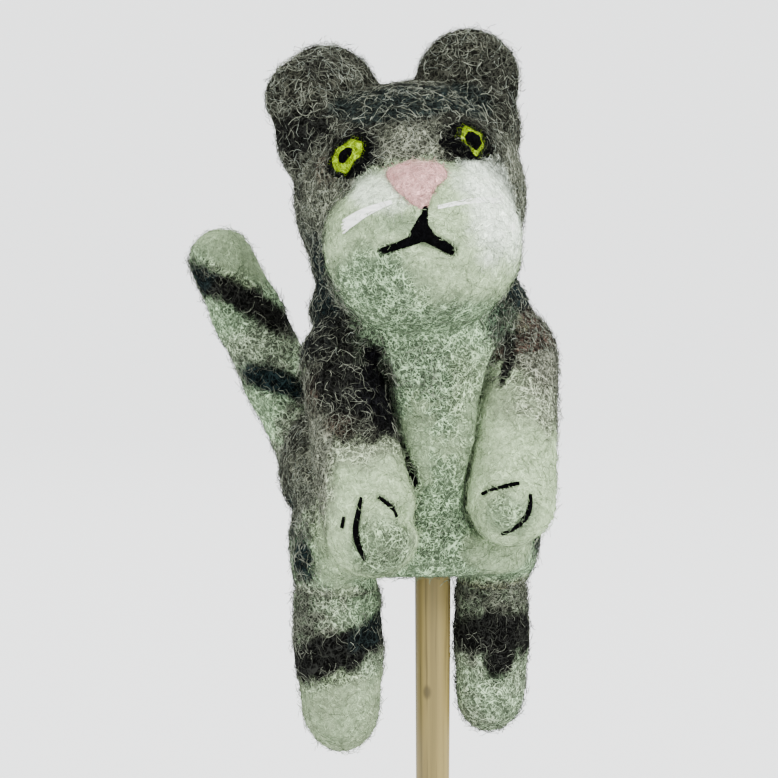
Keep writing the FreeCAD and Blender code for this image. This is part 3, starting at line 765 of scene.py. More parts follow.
def loose_fibres(name, skin, seed, cover, tilt, light, light_share, scale):
    """A piece made of the loose fibres on a skin, which moves exactly as the skin does."""
    obj = linked(bpy.data.objects.new(name, skin.data.copy()))
    grown = obj.modifiers.new("fibres", "NODES")
    grown.node_group = fibre_tree(seed, cover * sizes().fibre_cover, tilt * sizes().fibre_tilt,
                                  tuple(colour_of(light)), light_share, scale)
    applied(obj)
    for spare in ("fibre", "strand", "rest", "nap"):
        if spare in obj.data.attributes:
            obj.data.attributes.remove(obj.data.attributes[spare])
    return dress(obj, material("wool_fibre", fibre_material))


def nap(obj, weights=None):
    """Stores how thickly loose fibres grow on each part of a skin."""
    layer = obj.data.attributes.new("nap", "FLOAT", "POINT")
    values = np.ones(len(obj.data.vertices), np.float32) if weights is None else weights
    layer.data.foreach_set("value", values.astype(np.float32))


def clear_of(obj, lines, margin):
    """0 near the lines and 1 away from them, so that no fibre grows over the yarn."""
    points = positions(obj.data)
    kept = np.ones(len(points))
    for line in lines:
        kept *= np.clip(along_line(points, line) - margin, 0, 1)
    return kept


# Brightness of a wool, from black to pale, and the nap it is given next to dark_nap.
NAP_LEVELS = (0.001, 0.002, 0.005, 0.009, 0.04, 0.12, 0.3)
BLACK_NAP, TABBY_NAPS, PALE_NAP = 0.10, (1.7, 1.2, 0.75), 0.6


def nap_for_wool(obj, dark_nap=0.95):
    """Thickest nap on tabby wool, whose light fibres show, and little on the dark bands."""
    rgba = np.empty(len(obj.data.vertices) * 4, np.float32)
    obj.data.attributes["tint"].data.foreach_get("color", rgba)
    level = rgba.reshape(-1, 4)[:, :3].mean(axis=1)
    return np.interp(level, NAP_LEVELS,
                     (BLACK_NAP, 0.45 * dark_nap, dark_nap, *TABBY_NAPS, PALE_NAP))


# ------------------------------------------------------------------ pieces


HEAD_PATCHES = (
    Patch("charcoal", (-4, 14, 146), (4, 12, 16)),                   # stripe down the nape
    Patch("charcoal", (-14, 12, 142), (3, 8, 10), tilt=12),
    Patch("charcoal", (7, 12, 142), (3, 8, 10), tilt=-12),
    Patch("slate", (-8, -8, 154.5), (10, 8, 3.6), tilt=4, amount=0.75),   # across the forehead
    Patch("slate", (3, -6, 155.5), (5, 6, 3.4), tilt=-25, amount=0.75),
    Patch("charcoal", (-19.5, 0, 150), (4.5, 7, 4.5)),               # below the lower ear
    # Painted shade in the hollow of each ear.
    Patch("charcoal", (-17.5, -2, 160.5), (3, 3, 2.8), amount=0.7),
    Patch("charcoal", (9, -2, 157), (4.5, 4, 5), amount=0.55),
    Patch("slate", (-19.5, -6, 127), (5.4, 10, 12), soft=0.8, ragged=0.6),   # both jaws
    Patch("slate", (14.0, -6, 128), (6.0, 10, 12), soft=0.8, ragged=0.6),
    Patch("tabby_light", (-6.5, -15, 148.2), (5.5, 5, 3.6), amount=0.48,   # between the eyes
          soft=0.9, ragged=0.9),
    Patch("tabby_light", (12, -8, 142.5), (4, 7, 6), amount=0.6, soft=0.9, ragged=0.8),
    Patch("tabby_light", (-18.5, -8, 141), (4.5, 8, 6), amount=0.48, soft=0.9, ragged=0.8),
    Patch("brown", (-18, -8, 144.5), (2, 4, 2.5), amount=0.5),
    Patch("black", (-14.9, -11.3, 147.4), (4.6, 5, 3.9), soft=0.6),   # round the eyes
    Patch("black", (2.4, -14.0, 149.2), (4.8, 5, 3.7), soft=0.6),
    # Painted shade under the chin.
    Patch("pale_shade", (-4, -13, 121), (11, 7, 6)),
)

TORSO_PATCHES = (
    Patch("charcoal", (-3, 15, 106), (4.5, 5, 20)),                  # stripe down the back
    Patch("charcoal", (-13, 12, 103), (8, 6, 2.4), tilt=10),
    Patch("charcoal", (8, 12, 103), (8, 6, 2.4), tilt=-10),
    Patch("slate", (-21, -2, 94), (2.6, 6, 5)),
    Patch("pale_shade", (-3, -10, 86), (30, 19, 5.5), ragged=0.9, soft=0.7),   # front hem
    Patch("pale_shade", (-2.2, -14, 103), (12, 9, 22)),              # chest and belly
    Patch("pale", (3.5, -14, 108), (4.2, 7, 11), amount=0.38, ragged=0.7, soft=0.8),
    # Painted shade on the chest under the chin.
    Patch("slate", (-4, -14, 117), (11, 6, 8), amount=0.40, soft=1.0, ragged=0.8),
    Patch("tabby", (-3, -14, 106), (6, 7, 9), amount=0.14, soft=1.0, ragged=1.4),
    Patch("pale", (-6, -14, 104), (4, 7, 7), amount=0.38, ragged=1.1),
    # Painted shade: the bottom of the belly between the paws is darkened.
    Patch("charcoal", (-2, -14, 92), (7, 7, 6), amount=0.22, ragged=1.2, soft=1.0),
    Patch("pale", (8.5, -12, 89), (7, 6, 4), amount=0.7),
    Patch("charcoal", (-14.6, -7, 116), (7.5, 9, 8.5), amount=0.9),  # shoulders
    Patch("brown", (12, -6, 117), (6, 8, 7), amount=0.7),
    # Painted shade: dark lines in the creases between each arm and the chest.
    Stripe("black", ((-11.8, -11, 120.5), (-9.9, -12.5, 107.5), (-6.4, -14, 99.5)), 1.5),
    Stripe("charcoal", ((9.4, -11, 121), (7.7, -12, 115), (6.3, -13, 108.5),
                        (4.9, -13, 104.8), (4.4, -13.4, 99)), 1.2),
    Patch("tabby_light", (-15.5, 0, 80), (8.5, 10, 4.6), amount=0.8),   # tops of the legs
    Patch("brown", (9, -1, 80), (7.5, 9, 4.6), amount=0.8),
    Patch("pale", (-16.5, -12, 90), (4.0, 7, 9), soft=0.8, ragged=0.6, amount=0.7),
    Patch("tabby_light", (-20.5, -5, 99), (2.6, 6, 8), soft=0.8, ragged=0.8, amount=0.35),
    Patch("slate", (-20.9, -4.2, 87.2), (2.6, 3.8, 3.6), soft=0.7, ragged=0.7),   # both hips
    Patch("slate", (15.4, -4, 90.5), (2.6, 6, 4.2), tilt=25, soft=0.7, ragged=0.6),
)


MUZZLE_PATCHES = (
    Patch("pale", (-5.3, -20, 133.6), (16.3, 12, 12.8), soft=0.22, ragged=0.16),
    # Painted shade on the lower left of the muzzle, away from the light.
    Patch("pale_shade", (-12, -18, 128), (7.5, 7, 6), soft=0.7),
    Patch("pale_shade", (-9.5, -20, 136.4), (4.5, 5, 1.6), soft=0.8, amount=0.6),
    # Painted shade on the underside of the muzzle.
    Patch("pale_shade", (-2, -16, 123), (12, 9, 4), soft=0.8),
    # Painted light over white wool: the right cheek is whitened where the light falls.
    Patch("white", (5, -18, 139), (6, 8, 8), soft=0.7),
    Patch("white", (-12, -18, 141), (4, 6, 3), soft=0.7, amount=0.6),
    # Painted shade on the low part of the muzzle.
    Patch("slate", (-7, -20, 127), (9, 7, 5), soft=1.0, amount=0.13),
    Stripe("slate", ((-21.5, -10, 133), (-20.2, -12, 127), (-17.5, -13, 122)), 3.2, soft=0.9,
           ragged=0.6, amount=0.85),
    Stripe("slate", ((13.0, -11, 133), (11.3, -13, 128), (7.5, -14, 122)), 3.4, soft=0.9,
           ragged=0.6, amount=0.9),
)

MOUTH = {
    "philtrum": ((-6.2, -21.7, 139.4), (-6.34, -22.5, 136.4), (-6.5, -22.9, 134.6)),
    "left": ((-6.8, -22.9, 134.6), (-9.6, -22.3, 133.7), (-12.3, -20.9, 132.8)),
    "right": ((-6.2, -22.9, 134.6), (-4.2, -23.1, 133.8), (-2.6, -23.1, 132.9)),
}

MOUTH_CREASE = (0.8, 1.2)     # depth and width, in mm

# Lumps of wool that fuse neck, temples, shoulders, hips and the roots of the legs.
LUMPS = (
    ((-2.0, 0, 124), (16.7, 14.5, 8.5)),
    ((-17.0, 1.5, 150.5), (6.7, 5.5, 8.5)),
    ((-17.6, 1.5, 155.5), (7.7, 3.8, 6.5)),
    ((6.9, 0, 151), (6.4, 6.0, 8.5)),
    ((-14.5, -4.6, 116.6), (6.5, 7.0, 7.0)),
    ((11.2, -4.4, 117.4), (6.5, 7.0, 7.0)),
    ((-14.6, 4.0, 100), (8.0, 9.0, 9.0)),
    ((10.4, 0, 92), (6.5, 8.0, 5.0)),
    ((-14.6, 0, 82.4), (6.4, 7.0, 5.4)),
    ((8.9, 0, 83.0), (5.3, 5.9, 4.8)),
)


# Round swellings of both cheeks and the chin: (middle, radius, height), in mm.
FACE_SWELLS = (
    ((-13.5, -19, 138.5), 5.5, 0.8),
    ((3.0, -20, 138.5), 6.0, 1.1),
    ((-7.0, -21, 128.0), 4.5, 0.7),
)

HEM_TOP = 90.0           # below this height the skin is smoothed and its front edge drawn up
HEM_RISE = 1.2           # how far the front edge is drawn up, in mm
POCKET_TOP = 112.0       # highest wall of the finger pocket, in mm


class PUPPET_OT_body(bpy.types.Operator):
    """Felts torso, head, muzzle and ears into one wool skin"""

    bl_idname = "puppet.body"
    bl_label = "Body and head"

    def execute(self, context):
        nodes = ["body_sleeve", "chest_bib", "head_core", "ear_left", "ear_right",
                 "muzzle_pad"]
        skin = skin_from("body_felt", nodes, passes=16, extra=LUMPS)
        soften(skin, positions(skin.data)[:, 2] < HEM_TOP, 30)
        points = positions(skin.data)
        low, front = (HEM_TOP - points[:, 2]) / 6, -points[:, 1] / 10
        points[:, 2] += HEM_RISE * np.clip(low, 0, 1) * np.clip(front, 0, 1)
        set_positions(skin.data, points)
        for middle, radius, height in FACE_SWELLS:
            swell(skin, middle, radius, height)
        for line in MOUTH.values():
            press(skin, line, *MOUTH_CREASE)
        dye(skin, "tabby", HEAD_PATCHES + TORSO_PATCHES + MUZZLE_PATCHES + (
            Stripe("black", MOUTH["philtrum"], 0.5), Stripe("black", MOUTH["left"], 0.8),
            Stripe("black", MOUTH["right"], 0.95)), mottle="charcoal", mottle_amount=0.45)
        nap(skin, nap_for_wool(skin) * clear_of(skin, MOUTH.values(), 0.7) * self.outside(skin))
        dress(skin)
        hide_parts(*nodes)
        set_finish(skin, "wool_tabby")
        return {"FINISHED"}

    def outside(self, skin):
        """0 on the wall of the finger pocket, where no loose fibres lie, and 1 elsewhere."""
        points, facing = positions(skin.data), normals(skin.data)
        outward = ((points - np.array(PIVOTS["head"])) * facing)[:, :2].sum(axis=1)
        return np.where((points[:, 2] < POCKET_TOP) & (outward < -1.0), 0.0, 1.0)


class PUPPET_OT_nose(bpy.types.Operator):
    """Felts the pink three-cornered nose"""

    bl_idname = "puppet.nose"
    bl_label = "Nose"

    def execute(self, context):
        face = Surface(bpy.data.objects["body_felt"])
        bm = bmesh.new()
        pad(bm, face, (-6.9, -19.5, 143.4), 5.8, 4.7, 1.5, taper=0.66, ragged=0.2)
        skin = felted(new_object("nose_felt", bm), 0.25 * MM, 6)
        dye(skin, "pink", (Patch("pale", (-6.5, -19, 147), (8, 6, 1.4), soft=1.0, amount=0.4),))
        nap(skin)
        dress(skin)
        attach(skin, "head")
        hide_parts("nose_pad")
        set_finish(skin, "wool_pink")
        return {"FINISHED"}


class PUPPET_OT_mouth(bpy.types.Operator):
    """Lays black wool for the line under the nose and the drooping mouth"""

    bl_idname = "puppet.mouth"
    bl_label = "Mouth"

    def execute(self, context):
        face = Surface(bpy.data.objects["body_felt"])
        bm = bmesh.new()
        pad(bm, face, (-6.5, -22.8, 135.6), 2.5, 1.9, 0.55, turn=math.pi, taper=0.8, lift=0.1)
        lines = yarn("mouth_lines", face, (
            (MOUTH["philtrum"], (0.45, 0.55, 0.7)),
            (MOUTH["left"], (0.9, 0.62, 0.45)),
            (MOUTH["right"], (0.9, 0.8, 0.7))), sink=0.25)
        bm.from_mesh(lines.data)
        bpy.data.objects.remove(lines)
        skin = felted(new_object("mouth_felt", bm), 0.18 * MM, 4)
        dye(skin, "black")
        nap(skin)
        dress(skin, material("black_wool", black_wool_material))
        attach(skin, "head")
        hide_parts("mouth_stitch")
        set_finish(skin, "yarn_black")
        return {"FINISHED"}


# Middle and half sizes of each eye's layers in mm, their turn, and how dull the ring is.
EYES = {
    "left": {
        "patch": ((-15.5, -11.2, 147.2), (4.0, 3.6)), "ring": ((-15.9, -11.3, 147.1), (2.6, 3.0)),
        "pupil": ((-15.95, -11.3, 146.9), (1.05, 1.45)), "turn": math.radians(-28), "dull": 0.3,
    },
    "right": {
        "patch": ((2.6, -14.0, 149.3), (4.4, 3.0)), "ring": ((3.0, -14.3, 149.3), (2.4, 2.6)),
        "pupil": ((3.0, -14.3, 149.0), (1.45, 1.6)), "turn": math.radians(22), "dull": 0.75,
    },
}


# Dark wool that lies over the rings.
DULL_PATCHES = {
    "left": (Patch("black", (-17.6, -11, 145.6), (0.9, 3, 1.2), soft=1.0, amount=0.6),),
    "right": (Patch("black", (4.6, -14, 151.0), (1.5, 4, 1.2), soft=0.8, amount=0.85),
              Patch("black", (1.6, -14, 147.9), (1.3, 4, 1.3), soft=0.8, amount=0.85)),
}


class PUPPET_OT_eyes(bpy.types.Operator):
    """Lays each eye: a black patch, a yellow-green ring and a black pupil"""

    bl_idname = "puppet.eyes"
    bl_label = "Eyes"

    def layer(self, node, face, place, thickness, tone, grain, mottle=0.0, patches=(), **shape):
        """Lays the wool that stands for a node. Thickness and grain are in mm."""
        centre, half = place
        bm = bmesh.new()
        pad(bm, face, centre, *half, thickness, **shape)
        skin = felted(new_object(f"{node}_felt", bm), grain * MM, 4)
        dye(skin, tone, patches, mottle="black", mottle_amount=mottle)
        nap(skin)
        dress(skin, material("black_wool", black_wool_material) if tone == "black" else None)
        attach(skin, "head")
        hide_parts(node)
        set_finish(skin, "wool_yellow_green" if tone == "iris" else "yarn_black")

    def execute(self, context):
        face = Surface(bpy.data.objects["body_felt"])
        for side, eye in EYES.items():
            self.layer(f"eye_patch_{side}", face, eye["patch"], 0.55, "black", 0.22, ragged=0.35)
            self.layer(f"eye_ring_{side}", face, eye["ring"], 0.8, "iris", 0.20,
                       mottle=eye["dull"], patches=DULL_PATCHES[side], turn=eye["turn"],
                       ragged=0.4)
            self.layer(f"eye_pupil_{side}", face, eye["pupil"], 1.6, "black", 0.18,
                       turn=eye["turn"], ragged=0.45)
        return {"FINISHED"}


# Each tuft: root, middle of its tip, half spread of the tip, bristles and their radius, in mm.
TUFTS = {
    "left": ((-10.6, -20.3, 139.5), (-17.3, -17.4, 136.4), 1.15, 13, 0.13),
    "right": ((-4.4, -22.2, 139.0), (5.6, -20.6, 140.2), 0.5, 6, 0.07),
}


class PUPPET_OT_whiskers(bpy.types.Operator):
    """Lays a flat tuft of white bristles on each cheek"""

    bl_idname = "puppet.whiskers"
    bl_label = "Whiskers"

    def execute(self, context):
        face = Surface(bpy.data.objects["body_felt"])
        for side, (root, tip, spread, bristles, radius) in TUFTS.items():
            root, tip = Vector(root), Vector(tip)
            run = tip - root
            across = run.cross(Vector((0, -1, 0))).normalized()
            strokes = []
            for number in range(bristles):
                share = 2 * number / (bristles - 1) - 1
                wander = 0.12 * noise.noise(Vector((number * 1.7, 0.3, 0)))
                points = [root + run * t + across * (share * (0.25 + (spread - 0.25) * t) + wander)
                          for t in (0.0, 0.35, 0.7, 1.0 + 0.05 * math.sin(number * 2.3))]
                strokes.append((points, (0.8 * radius, radius, radius, 0.7 * radius)))
            tuft = yarn(f"whisker_{side}_bristles", face, strokes, sink=-0.7)
            dress(tuft, material("bristle", bristle_material))
            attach(tuft, "head")
            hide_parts(f"whiskers_{side}")
            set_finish(tuft, "bristle_white")
        return {"FINISHED"}


TOES = {
    "left": {
        "curve": ((-15.3, -21.2, 98.1), (-16.3, -22.0, 96.0), (-16.5, -22.3, 93.6),
                  (-16.0, -22.4, 91.2), (-15.0, -21.8, 89.1)),
        "stroke": ((-12.8, -21.6, 98.1), (-11.1, -22.0, 96.8), (-8.9, -21.7, 95.2)),
        "tick": ((-17.9, -20.5, 95.3), (-18.3, -20.5, 93.8)),
    },
    "right": {
        "stroke": ((2.7, -18.6, 98.2), (5.1, -20.7, 99.1), (7.9, -21.1, 99.8)),
        "curve": ((9.7, -21.7, 98.0), (9.5, -21.9, 96.0), (7.8, -21.3, 93.7),
                  (5.7, -19.5, 92.1)),
    },
}

# Swellings of each paw: (middle, radius, height), in mm.
TOE_SWELLS = {
    "left": (((-9.4, -20.5, 98.6), 3.0, 1.1), ((-12.4, -22.5, 91.6), 3.2, 0.9)),
    "right": (((5.6, -21, 95.5), 3.4, 0.9), ((11.5, -21, 93.5), 2.2, 0.5)),
}

# Notches in the outline of a paw, where a toe meets the rest of it.
TOE_NOTCHES = {"left": (((-8.9, -21.7, 95.2), (-6.6, -17.5, 94.0)),), "right": ()}

ARM_DYES = {
    "left": ("pale", (
        Patch("tabby_light", (-15, -12, 106), (9, 12, 5), soft=0.6, amount=0.8),
        Patch("tabby", (-15, -10, 112), (10, 13, 8.5), soft=0.3),
        Patch("brown", (-17, -11, 110), (5, 6, 6), amount=0.5),
        Patch("charcoal", (-14, -12, 113), (7, 8, 6.5)),
        Patch("black", (-10.2, -13, 112), (4.2, 8, 8.0), soft=0.6, amount=0.85),
        Patch("tabby_light", (-21.5, -13, 100), (3.6, 8, 9), soft=0.9, ragged=0.6),
        Patch("tabby", (-21.5, -12, 103), (2.6, 7, 9), soft=0.9, ragged=1.0, amount=0.4),
        Patch("pale_shade", (-12.5, -22, 91), (4.5, 4, 5), soft=0.7, amount=0.8),
        Patch("tabby", (-12.6, -22, 92), (3.2, 4, 3.6), soft=0.8, amount=0.45, ragged=1.2),
    )),
    "right": ("pale", (
        Patch("tabby_light", (12, -9, 110), (8, 9, 5), soft=0.8, amount=0.7),
        Patch("tabby", (12.5, -7, 116.5), (7, 9, 6), soft=0.6),
        Patch("brown", (13, -8, 114), (5, 6, 5), amount=0.4),
        Patch("tabby_light", (13.5, -12, 114), (5, 7, 6), amount=0.7, ragged=1.0, soft=0.9),
        Patch("tabby", (16.5, -8, 108), (2.2, 6, 9), amount=0.6),
        # Painted shade in the crease between the arm and the chest.
        Stripe("charcoal", ((9.0, -11, 118), (7.7, -12, 112), (5.6, -13, 106), (4.4, -14, 100)), 1.1),
        Patch("pale_shade", (6.5, -21, 95), (3.6, 4, 3), soft=0.7, amount=0.8),
        Patch("tabby", (6.8, -21, 94.6), (2.6, 4, 2.4), soft=0.8, amount=0.4, ragged=1.2),
    )),
}


ARM_SWELL = 0.22         # how far the whole of each arm is felted out, in mm
TOE_CREASE, NOTCH_CREASE = (1.0, 1.2), (1.7, 1.5)     # depth and width, in mm


class PUPPET_OT_arms(bpy.types.Operator):
    """Felts each arm with its paw and pressed toes, and lays the black toe yarn"""

    bl_idname = "puppet.arms"
    bl_label = "Arms and toes"

    def execute(self, context):
        for side, (ground, patches) in ARM_DYES.items():
            skin = skin_from(f"arm_{side}_felt", [f"upper_arm_{side}", f"forepaw_{side}"],
                             passes=10)
            inflate(skin, ARM_SWELL)
            for toe, radius, height in TOE_SWELLS[side]:
                swell(skin, toe, radius, height)
            for line in TOES[side].values():
                press(skin, line, *TOE_CREASE)
            for line in TOE_NOTCHES[side]:
                press(skin, line, *NOTCH_CREASE)
            lines = [Stripe("black", line, 0.55, soft=0.7) for line in TOES[side].values()]
            dye(skin, ground, (*patches, *lines))
            nap(skin, nap_for_wool(skin) * clear_of(skin, TOES[side].values(), 0.6))
            dress(skin)
            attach(skin, f"arm_{side}")
            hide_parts(f"upper_arm_{side}", f"forepaw_{side}")
            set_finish(skin, "wool_pale")
            paw = Surface(skin)
            half = sizes().yarn_width / MM / 2
            strokes = [(line, [half * 0.55] + [half] * (len(line) - 2) + [half * 0.6])
                       for line in TOES[side].values()]
            toes = yarn(f"toe_yarn_{side}", paw, strokes, sink=0.0)
            dye(toes, "black")
            dress(toes, material("black_wool", black_wool_material))
            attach(toes, f"arm_{side}")
            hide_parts(f"toe_stitches_{side}")
            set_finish(toes, "yarn_black")
        return {"FINISHED"}


LEG_DYES = {
    "left": (
        Patch("pale_shade", (-10.5, -5, 80), (4, 6, 5), amount=0.7),
        Patch("charcoal", (-20.5, -4, 78), (2.4, 7, 6), amount=0.8),
        Patch("charcoal", (-15.0, 0, 73.6), (12, 12, 4.2), tilt=28),
        Patch("slate", (-11, -4, 76.5), (4, 6, 2.4), tilt=36, amount=0.6),
        Patch("pale", (-14.5, 0, 63.5), (12, 12, 6.6), tilt=20, soft=0.4, amount=0.52),
    ),
    "right": (
        Patch("tabby", (9, -1, 80), (8, 9, 4.6), amount=0.78),
        Patch("charcoal", (9.4, 0, 75.2), (9, 9, 4.8), tilt=-8),
        Patch("charcoal", (8.8, -5, 71.5), (2.6, 3, 3.6), soft=0.5),
        Patch("pale_shade", (9.2, 0, 64.5), (9, 9, 5.6), soft=0.4, amount=0.3),
    ),
}


# How each leg narrows below a height: (height, lowest point, share, shift in x, drop), in mm.
LEG_TAPERS = {"left": (78.0, 60.0, 0.17, 0.6, -0.2), "right": (74.0, 62.0, 0.10, -0.3, 1.0)}


# The root of each leg inside the hem, where its wool joins the body's.
LEG_TOPS = {"left": ((-14.6, 0, 80.6), (6.7, 6.8, 5.0)), "right": ((9.1, 0, 81.2), (5.5, 5.6, 4.8))}


class PUPPET_OT_legs(bpy.types.Operator):
    """Felts the two hanging legs with their dark bands and pale feet"""

    bl_idname = "puppet.legs"
    bl_label = "Legs"

    def draw_in(self, skin, taper):
        """Narrows a leg towards its foot."""
        top, bottom, share, shift, drop = taper
        points = positions(skin.data)
        low = np.clip((top - points[:, 2]) / (top - bottom), 0, 1)
        middle = points.mean(axis=0)
        points[:, :2] += (middle[:2] - points[:, :2]) * (share * low)[:, None]
        points[:, 0] += shift * low
        points[:, 2] -= drop * low
        set_positions(skin.data, points)

    def execute(self, context):
        for side, patches in LEG_DYES.items():
            nodes = [f"leg_{side}", f"leg_band_{side}", f"foot_{side}"]
            skin = skin_from(f"leg_{side}_felt", nodes, passes=12, extra=(LEG_TOPS[side],))
            self.draw_in(skin, LEG_TAPERS[side])
            dye(skin, "tabby_light", patches, mottle="pale_shade", mottle_amount=0.6)
            nap(skin, nap_for_wool(skin, dark_nap=0.35))
            dress(skin)
            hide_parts(*nodes)
            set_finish(skin, "wool_tabby")
        return {"FINISHED"}


# Wool that roots the tail in the back. It lies on the tail's own axis, so it turns in place.
TAIL_ROOT = (((-9.6, 15.6, 92), (5.0, 6.5, 5.0)),)


class PUPPET_OT_tail(bpy.types.Operator):
    """Felts the tail with its slanting dark bands"""

    bl_idname = "puppet.tail"
    bl_label = "Tail"

    def execute(self, context):
        skin = skin_from("tail_felt", ["tail", "tail_bands"], passes=10, extra=TAIL_ROOT)
        dye(skin, "pale_shade", (
            Patch("tabby", (-10.5, 18, 96), (8, 12, 9.5), soft=0.9, ragged=0.8, amount=0.9),
            Patch("tabby_light", (-14, 22, 102), (8, 14, 11), soft=0.8, ragged=0.8, amount=0.85),
            Patch("tabby_light", (-22, 24, 118), (7, 14, 5), tilt=25, soft=0.8, amount=0.6),
            Patch("tabby", (-16.5, 22, 105.5), (5, 14, 6), soft=1.0, ragged=0.9, amount=0.55),
        Patch("slate", (-20.6, 24, 112.4), (6.5, 15, 2.5), tilt=-22, soft=0.6),
            Patch("charcoal", (-25.2, 25, 125.2), (10.5, 15, 3.1), tilt=-33, soft=0.5),
            Patch("slate", (-32.5, 25, 128.5), (2.4, 12, 3.8), tilt=-50, amount=0.8, soft=0.7),
            Patch("pale", (-25, 24, 134.5), (10, 15, 5.4), tilt=-25, amount=0.6, soft=0.7),
        ))
        nap(skin, nap_for_wool(skin, dark_nap=0.3))
        dress(skin)
        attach(skin, "tail")
        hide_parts("tail", "tail_bands")
        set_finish(skin, "wool_pale")
        return {"FINISHED"}


class PUPPET_OT_stick(bpy.types.Operator):
    """Gives the stick its grained wood"""

    bl_idname = "puppet.stick"
    bl_label = "Stick"

    def execute(self, context):
        stick = frame["nodes"]["stick"]
        wood = material("grained_wood", wood_material)
        for holder in stick.material_slots:
            holder.material = wood
        if not stick.material_slots:
            stick.data.materials.append(wood)
        return {"FINISHED"}


# Fibre pieces: name, skin, seed, cover, tilt, colour mixed in, its share, and size.
FIBRES = (
    ("body_fibres_1", "body_felt", 11, 0.17, 1.0, "loose", 0.95, 1.0),
    ("body_fibres_2", "body_felt", 12, 0.17, 1.0, "loose", 0.95, 1.0),
    ("body_fibres_3", "body_felt", 13, 0.17, 0.6, "loose", 0.85, 1.0),
    ("body_fibres_4", "body_felt", 14, 0.17, 0.6, "loose", 0.6, 1.0),
    ("body_fibres_5", "body_felt", 15, 0.17, 0.6, "tabby_light", 0.9, 1.0),
    ("body_fibres_6", "body_felt", 21, 0.17, 0.5, "white", 0.5, 0.9),
    ("nose_fibres", "nose_felt", 31, 2.2, 0.9, "white", 0.95, 0.65),
    ("eye_ring_left_fibres", "eye_ring_left_felt", 32, 3.0, 0.8, "iris", 0.9, 0.4),
    ("eye_ring_right_fibres", "eye_ring_right_felt", 33, 3.0, 0.8, "tabby_light", 0.7, 0.45),
    ("eye_patch_left_fibres", "eye_patch_left_felt", 34, 0.9, 0.8, "tabby_light", 0.8, 0.7),
    ("eye_patch_right_fibres", "eye_patch_right_felt", 35, 1.4, 0.8, "tabby_light", 0.9, 0.7),
    ("arm_left_fibres", "arm_left_felt", 41, 1.0, 0.8, "loose", 0.75, 0.95),
    ("arm_right_fibres", "arm_right_felt", 42, 1.0, 0.8, "loose", 0.75, 0.95),
    ("leg_left_fibres", "leg_left_felt", 51, 1.0, 0.9, "loose", 0.75, 0.95),
    ("leg_right_fibres", "leg_right_felt", 52, 1.0, 0.9, "loose", 0.5, 0.95),
    ("tail_fibres", "tail_felt", 61, 0.85, 0.9, "loose", 0.6, 0.95),
)


# Skins that reach from the torso to another body: that body, and where the bend starts and
# ends, as heights above its pivot in mm. Their place is baked into their mesh; they are not bent
# here.
BENDS = {
    "body_felt": ("head", -11.5, 4.5),
    "leg_left_felt": ("leg_left", 6.0, -4.0),
    "leg_right_felt": ("leg_right", 5.0, -4.0),
}


class PUPPET_OT_fibres(bpy.types.Operator):
    """Strews loose curly fibres over every wool skin"""

    bl_idname = "puppet.fibres"
    bl_label = "Loose fibres"

    def execute(self, context):
        for name, skin_name, seed, cover, tilt, light, share, scale in FIBRES:
            skin = bpy.data.objects[skin_name]
            fibres = loose_fibres(name, skin, seed, cover, tilt, light, share, scale)
            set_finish(fibres, skin["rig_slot"])
            self.fix(fibres, skin_name, skin.get("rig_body"))
        for skin_name in BENDS:
            self.fix(bpy.data.objects[skin_name], skin_name, None)
        for strand in list(bpy.data.collections["strands"].objects):
            bpy.data.objects.remove(strand)
        bpy.data.collections.remove(bpy.data.collections["strands"])
        return {"FINISHED"}

    def fix(self, obj, skin_name, body):
        """Bakes the place of a piece on a skin that reaches across bodies into its mesh, or makes it
        ride on that skin's body.
        """
        if skin_name in BENDS:
            body, first, last = BENDS[skin_name]
            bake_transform(obj)
        else:
            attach(obj, body)


# The backdrop's outline, turned about the object: distance out and height, in metres.
BACKDROP_OUTLINE = ((0.001, 0), (1.6, 0), (2.05, 0.12), (2.3, 0.45), (2.4, 1.0), (2.4, 2.2))

# Lamps: place in metres, width in metres and power in watts.
LAMPS = {
    "key": ((0.55, -0.75, 0.75), 0.45, 20),
    "fill": ((-0.85, -0.6, 0.35), 0.7, 5),
    "top": ((0.0, 0.15, 1.1), 0.8, 10),
    "back": ((-0.3, 1.0, 0.7), 0.8, 7),
}
LAMP_AIM = Vector((0, 0, 0.11))

CAMERA_PLACE, CAMERA_AIM = Vector((-89.5, -389.6, 133.1)), Vector((-6.5, 1.13, 112.15))     # in mm
CAMERA_LENS = 123.4


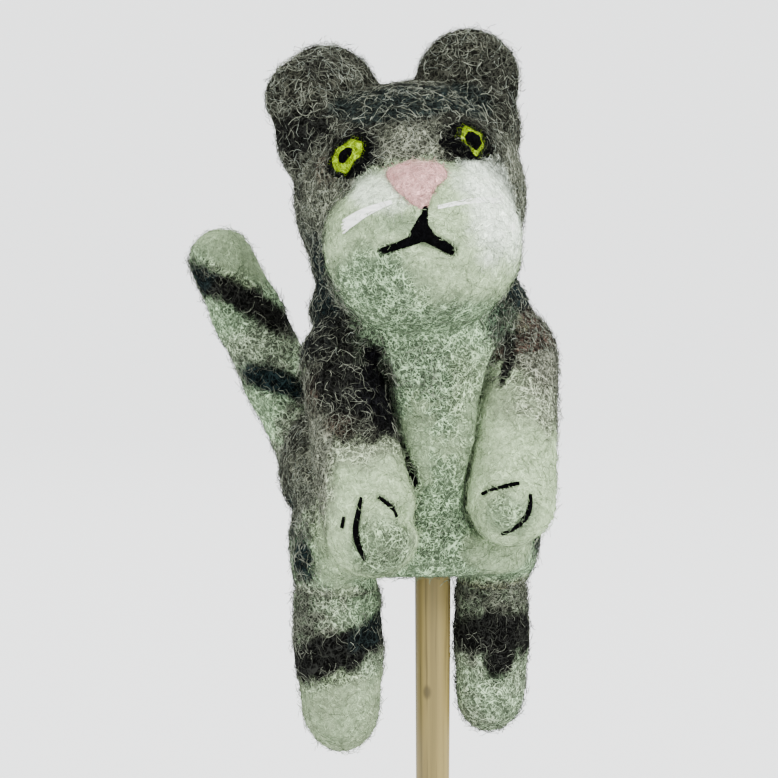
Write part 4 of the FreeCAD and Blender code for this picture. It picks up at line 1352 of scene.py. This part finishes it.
class PUPPET_OT_stage(bpy.types.Operator):
    """Sets the pale backdrop, the soft lights and the camera"""

    bl_idname = "puppet.stage"
    bl_label = "Stage"

    def lamp(self, name, place, size, power):
        data = bpy.data.lights.new(name, "AREA")
        data.shape, data.size, data.energy = "DISK", size, power
        lamp = linked(bpy.data.objects.new(name, data))
        lamp.location = place
        lamp.rotation_euler = (LAMP_AIM - Vector(place)).to_track_quat("-Z", "Y").to_euler()

    def floor(self):
        bm = bmesh.new()
        rim = [bm.verts.new((out, 0, up)) for out, up in BACKDROP_OUTLINE]
        edges = [bm.edges.new(pair) for pair in zip(rim, rim[1:])]
        bmesh.ops.spin(bm, geom=rim + edges, cent=(0, 0, 0), axis=(0, 0, 1), dvec=(0, 0, 0),
                       angle=math.tau, steps=72, use_merge=True)
        bmesh.ops.remove_doubles(bm, verts=bm.verts, dist=1e-5)
        floor = new_object("backdrop", bm)
        dress(floor, material("backdrop", backdrop_material))

    def camera(self, scene):
        data = bpy.data.cameras.new("camera")
        data.lens, data.sensor_width = CAMERA_LENS, 36.0
        camera = linked(bpy.data.objects.new("camera", data))
        camera.location = CAMERA_PLACE * MM
        look = CAMERA_AIM * MM - camera.location
        camera.rotation_euler = look.to_track_quat("-Z", "Y").to_euler()
        data.clip_start, data.clip_end = 0.01, 20
        scene.camera = camera

    def execute(self, context):
        scene = context.scene
        self.floor()
        for name, (place, size, power) in LAMPS.items():
            self.lamp(name, place, size, power)
        scene.world = bpy.data.worlds.new("room")
        scene.world.use_nodes = True
        sky = scene.world.node_tree.nodes["Background"]
        sky.inputs["Color"].default_value = (1, 1, 1, 1)
        sky.inputs["Strength"].default_value = 0.7
        self.camera(scene)
        return {"FINISHED"}


STEPS = (PUPPET_OT_body, PUPPET_OT_nose, PUPPET_OT_mouth, PUPPET_OT_eyes,
         PUPPET_OT_whiskers, PUPPET_OT_arms, PUPPET_OT_legs, PUPPET_OT_tail, PUPPET_OT_stick,
         PUPPET_OT_fibres, PUPPET_OT_stage)


class PUPPET_PT_panel(bpy.types.Panel):
    """Lists the puppet's sizes, colours and steps"""

    bl_idname = "PUPPET_PT_panel"
    bl_label = "Felted cat puppet"
    bl_space_type = "VIEW_3D"
    bl_region_type = "UI"
    bl_category = "Puppet"

    def draw(self, context):
        for group in (context.scene.puppet_sizes, context.scene.puppet_colours):
            box = self.layout.box()
            for key in type(group).__annotations__:
                box.prop(group, key)
        column = self.layout.column(align=True)
        for step in STEPS:
            column.operator(step.bl_idname)


CLASSES = (PuppetSizes, PuppetColours, *STEPS, PUPPET_PT_panel)


def register():
    for cls in CLASSES:
        bpy.utils.register_class(cls)
    bpy.types.Scene.puppet_sizes = PointerProperty(type=PuppetSizes)
    bpy.types.Scene.puppet_colours = PointerProperty(type=PuppetColours)


def unregister():
    del bpy.types.Scene.puppet_colours
    del bpy.types.Scene.puppet_sizes
    for cls in reversed(CLASSES):
        bpy.utils.unregister_class(cls)


def main():
    register()
    for step in STEPS:
        group, name = step.bl_idname.split(".")
        getattr(getattr(bpy.ops, group), name)()
    bpy.context.view_layer.update()


if __name__ == "__main__":
    main()
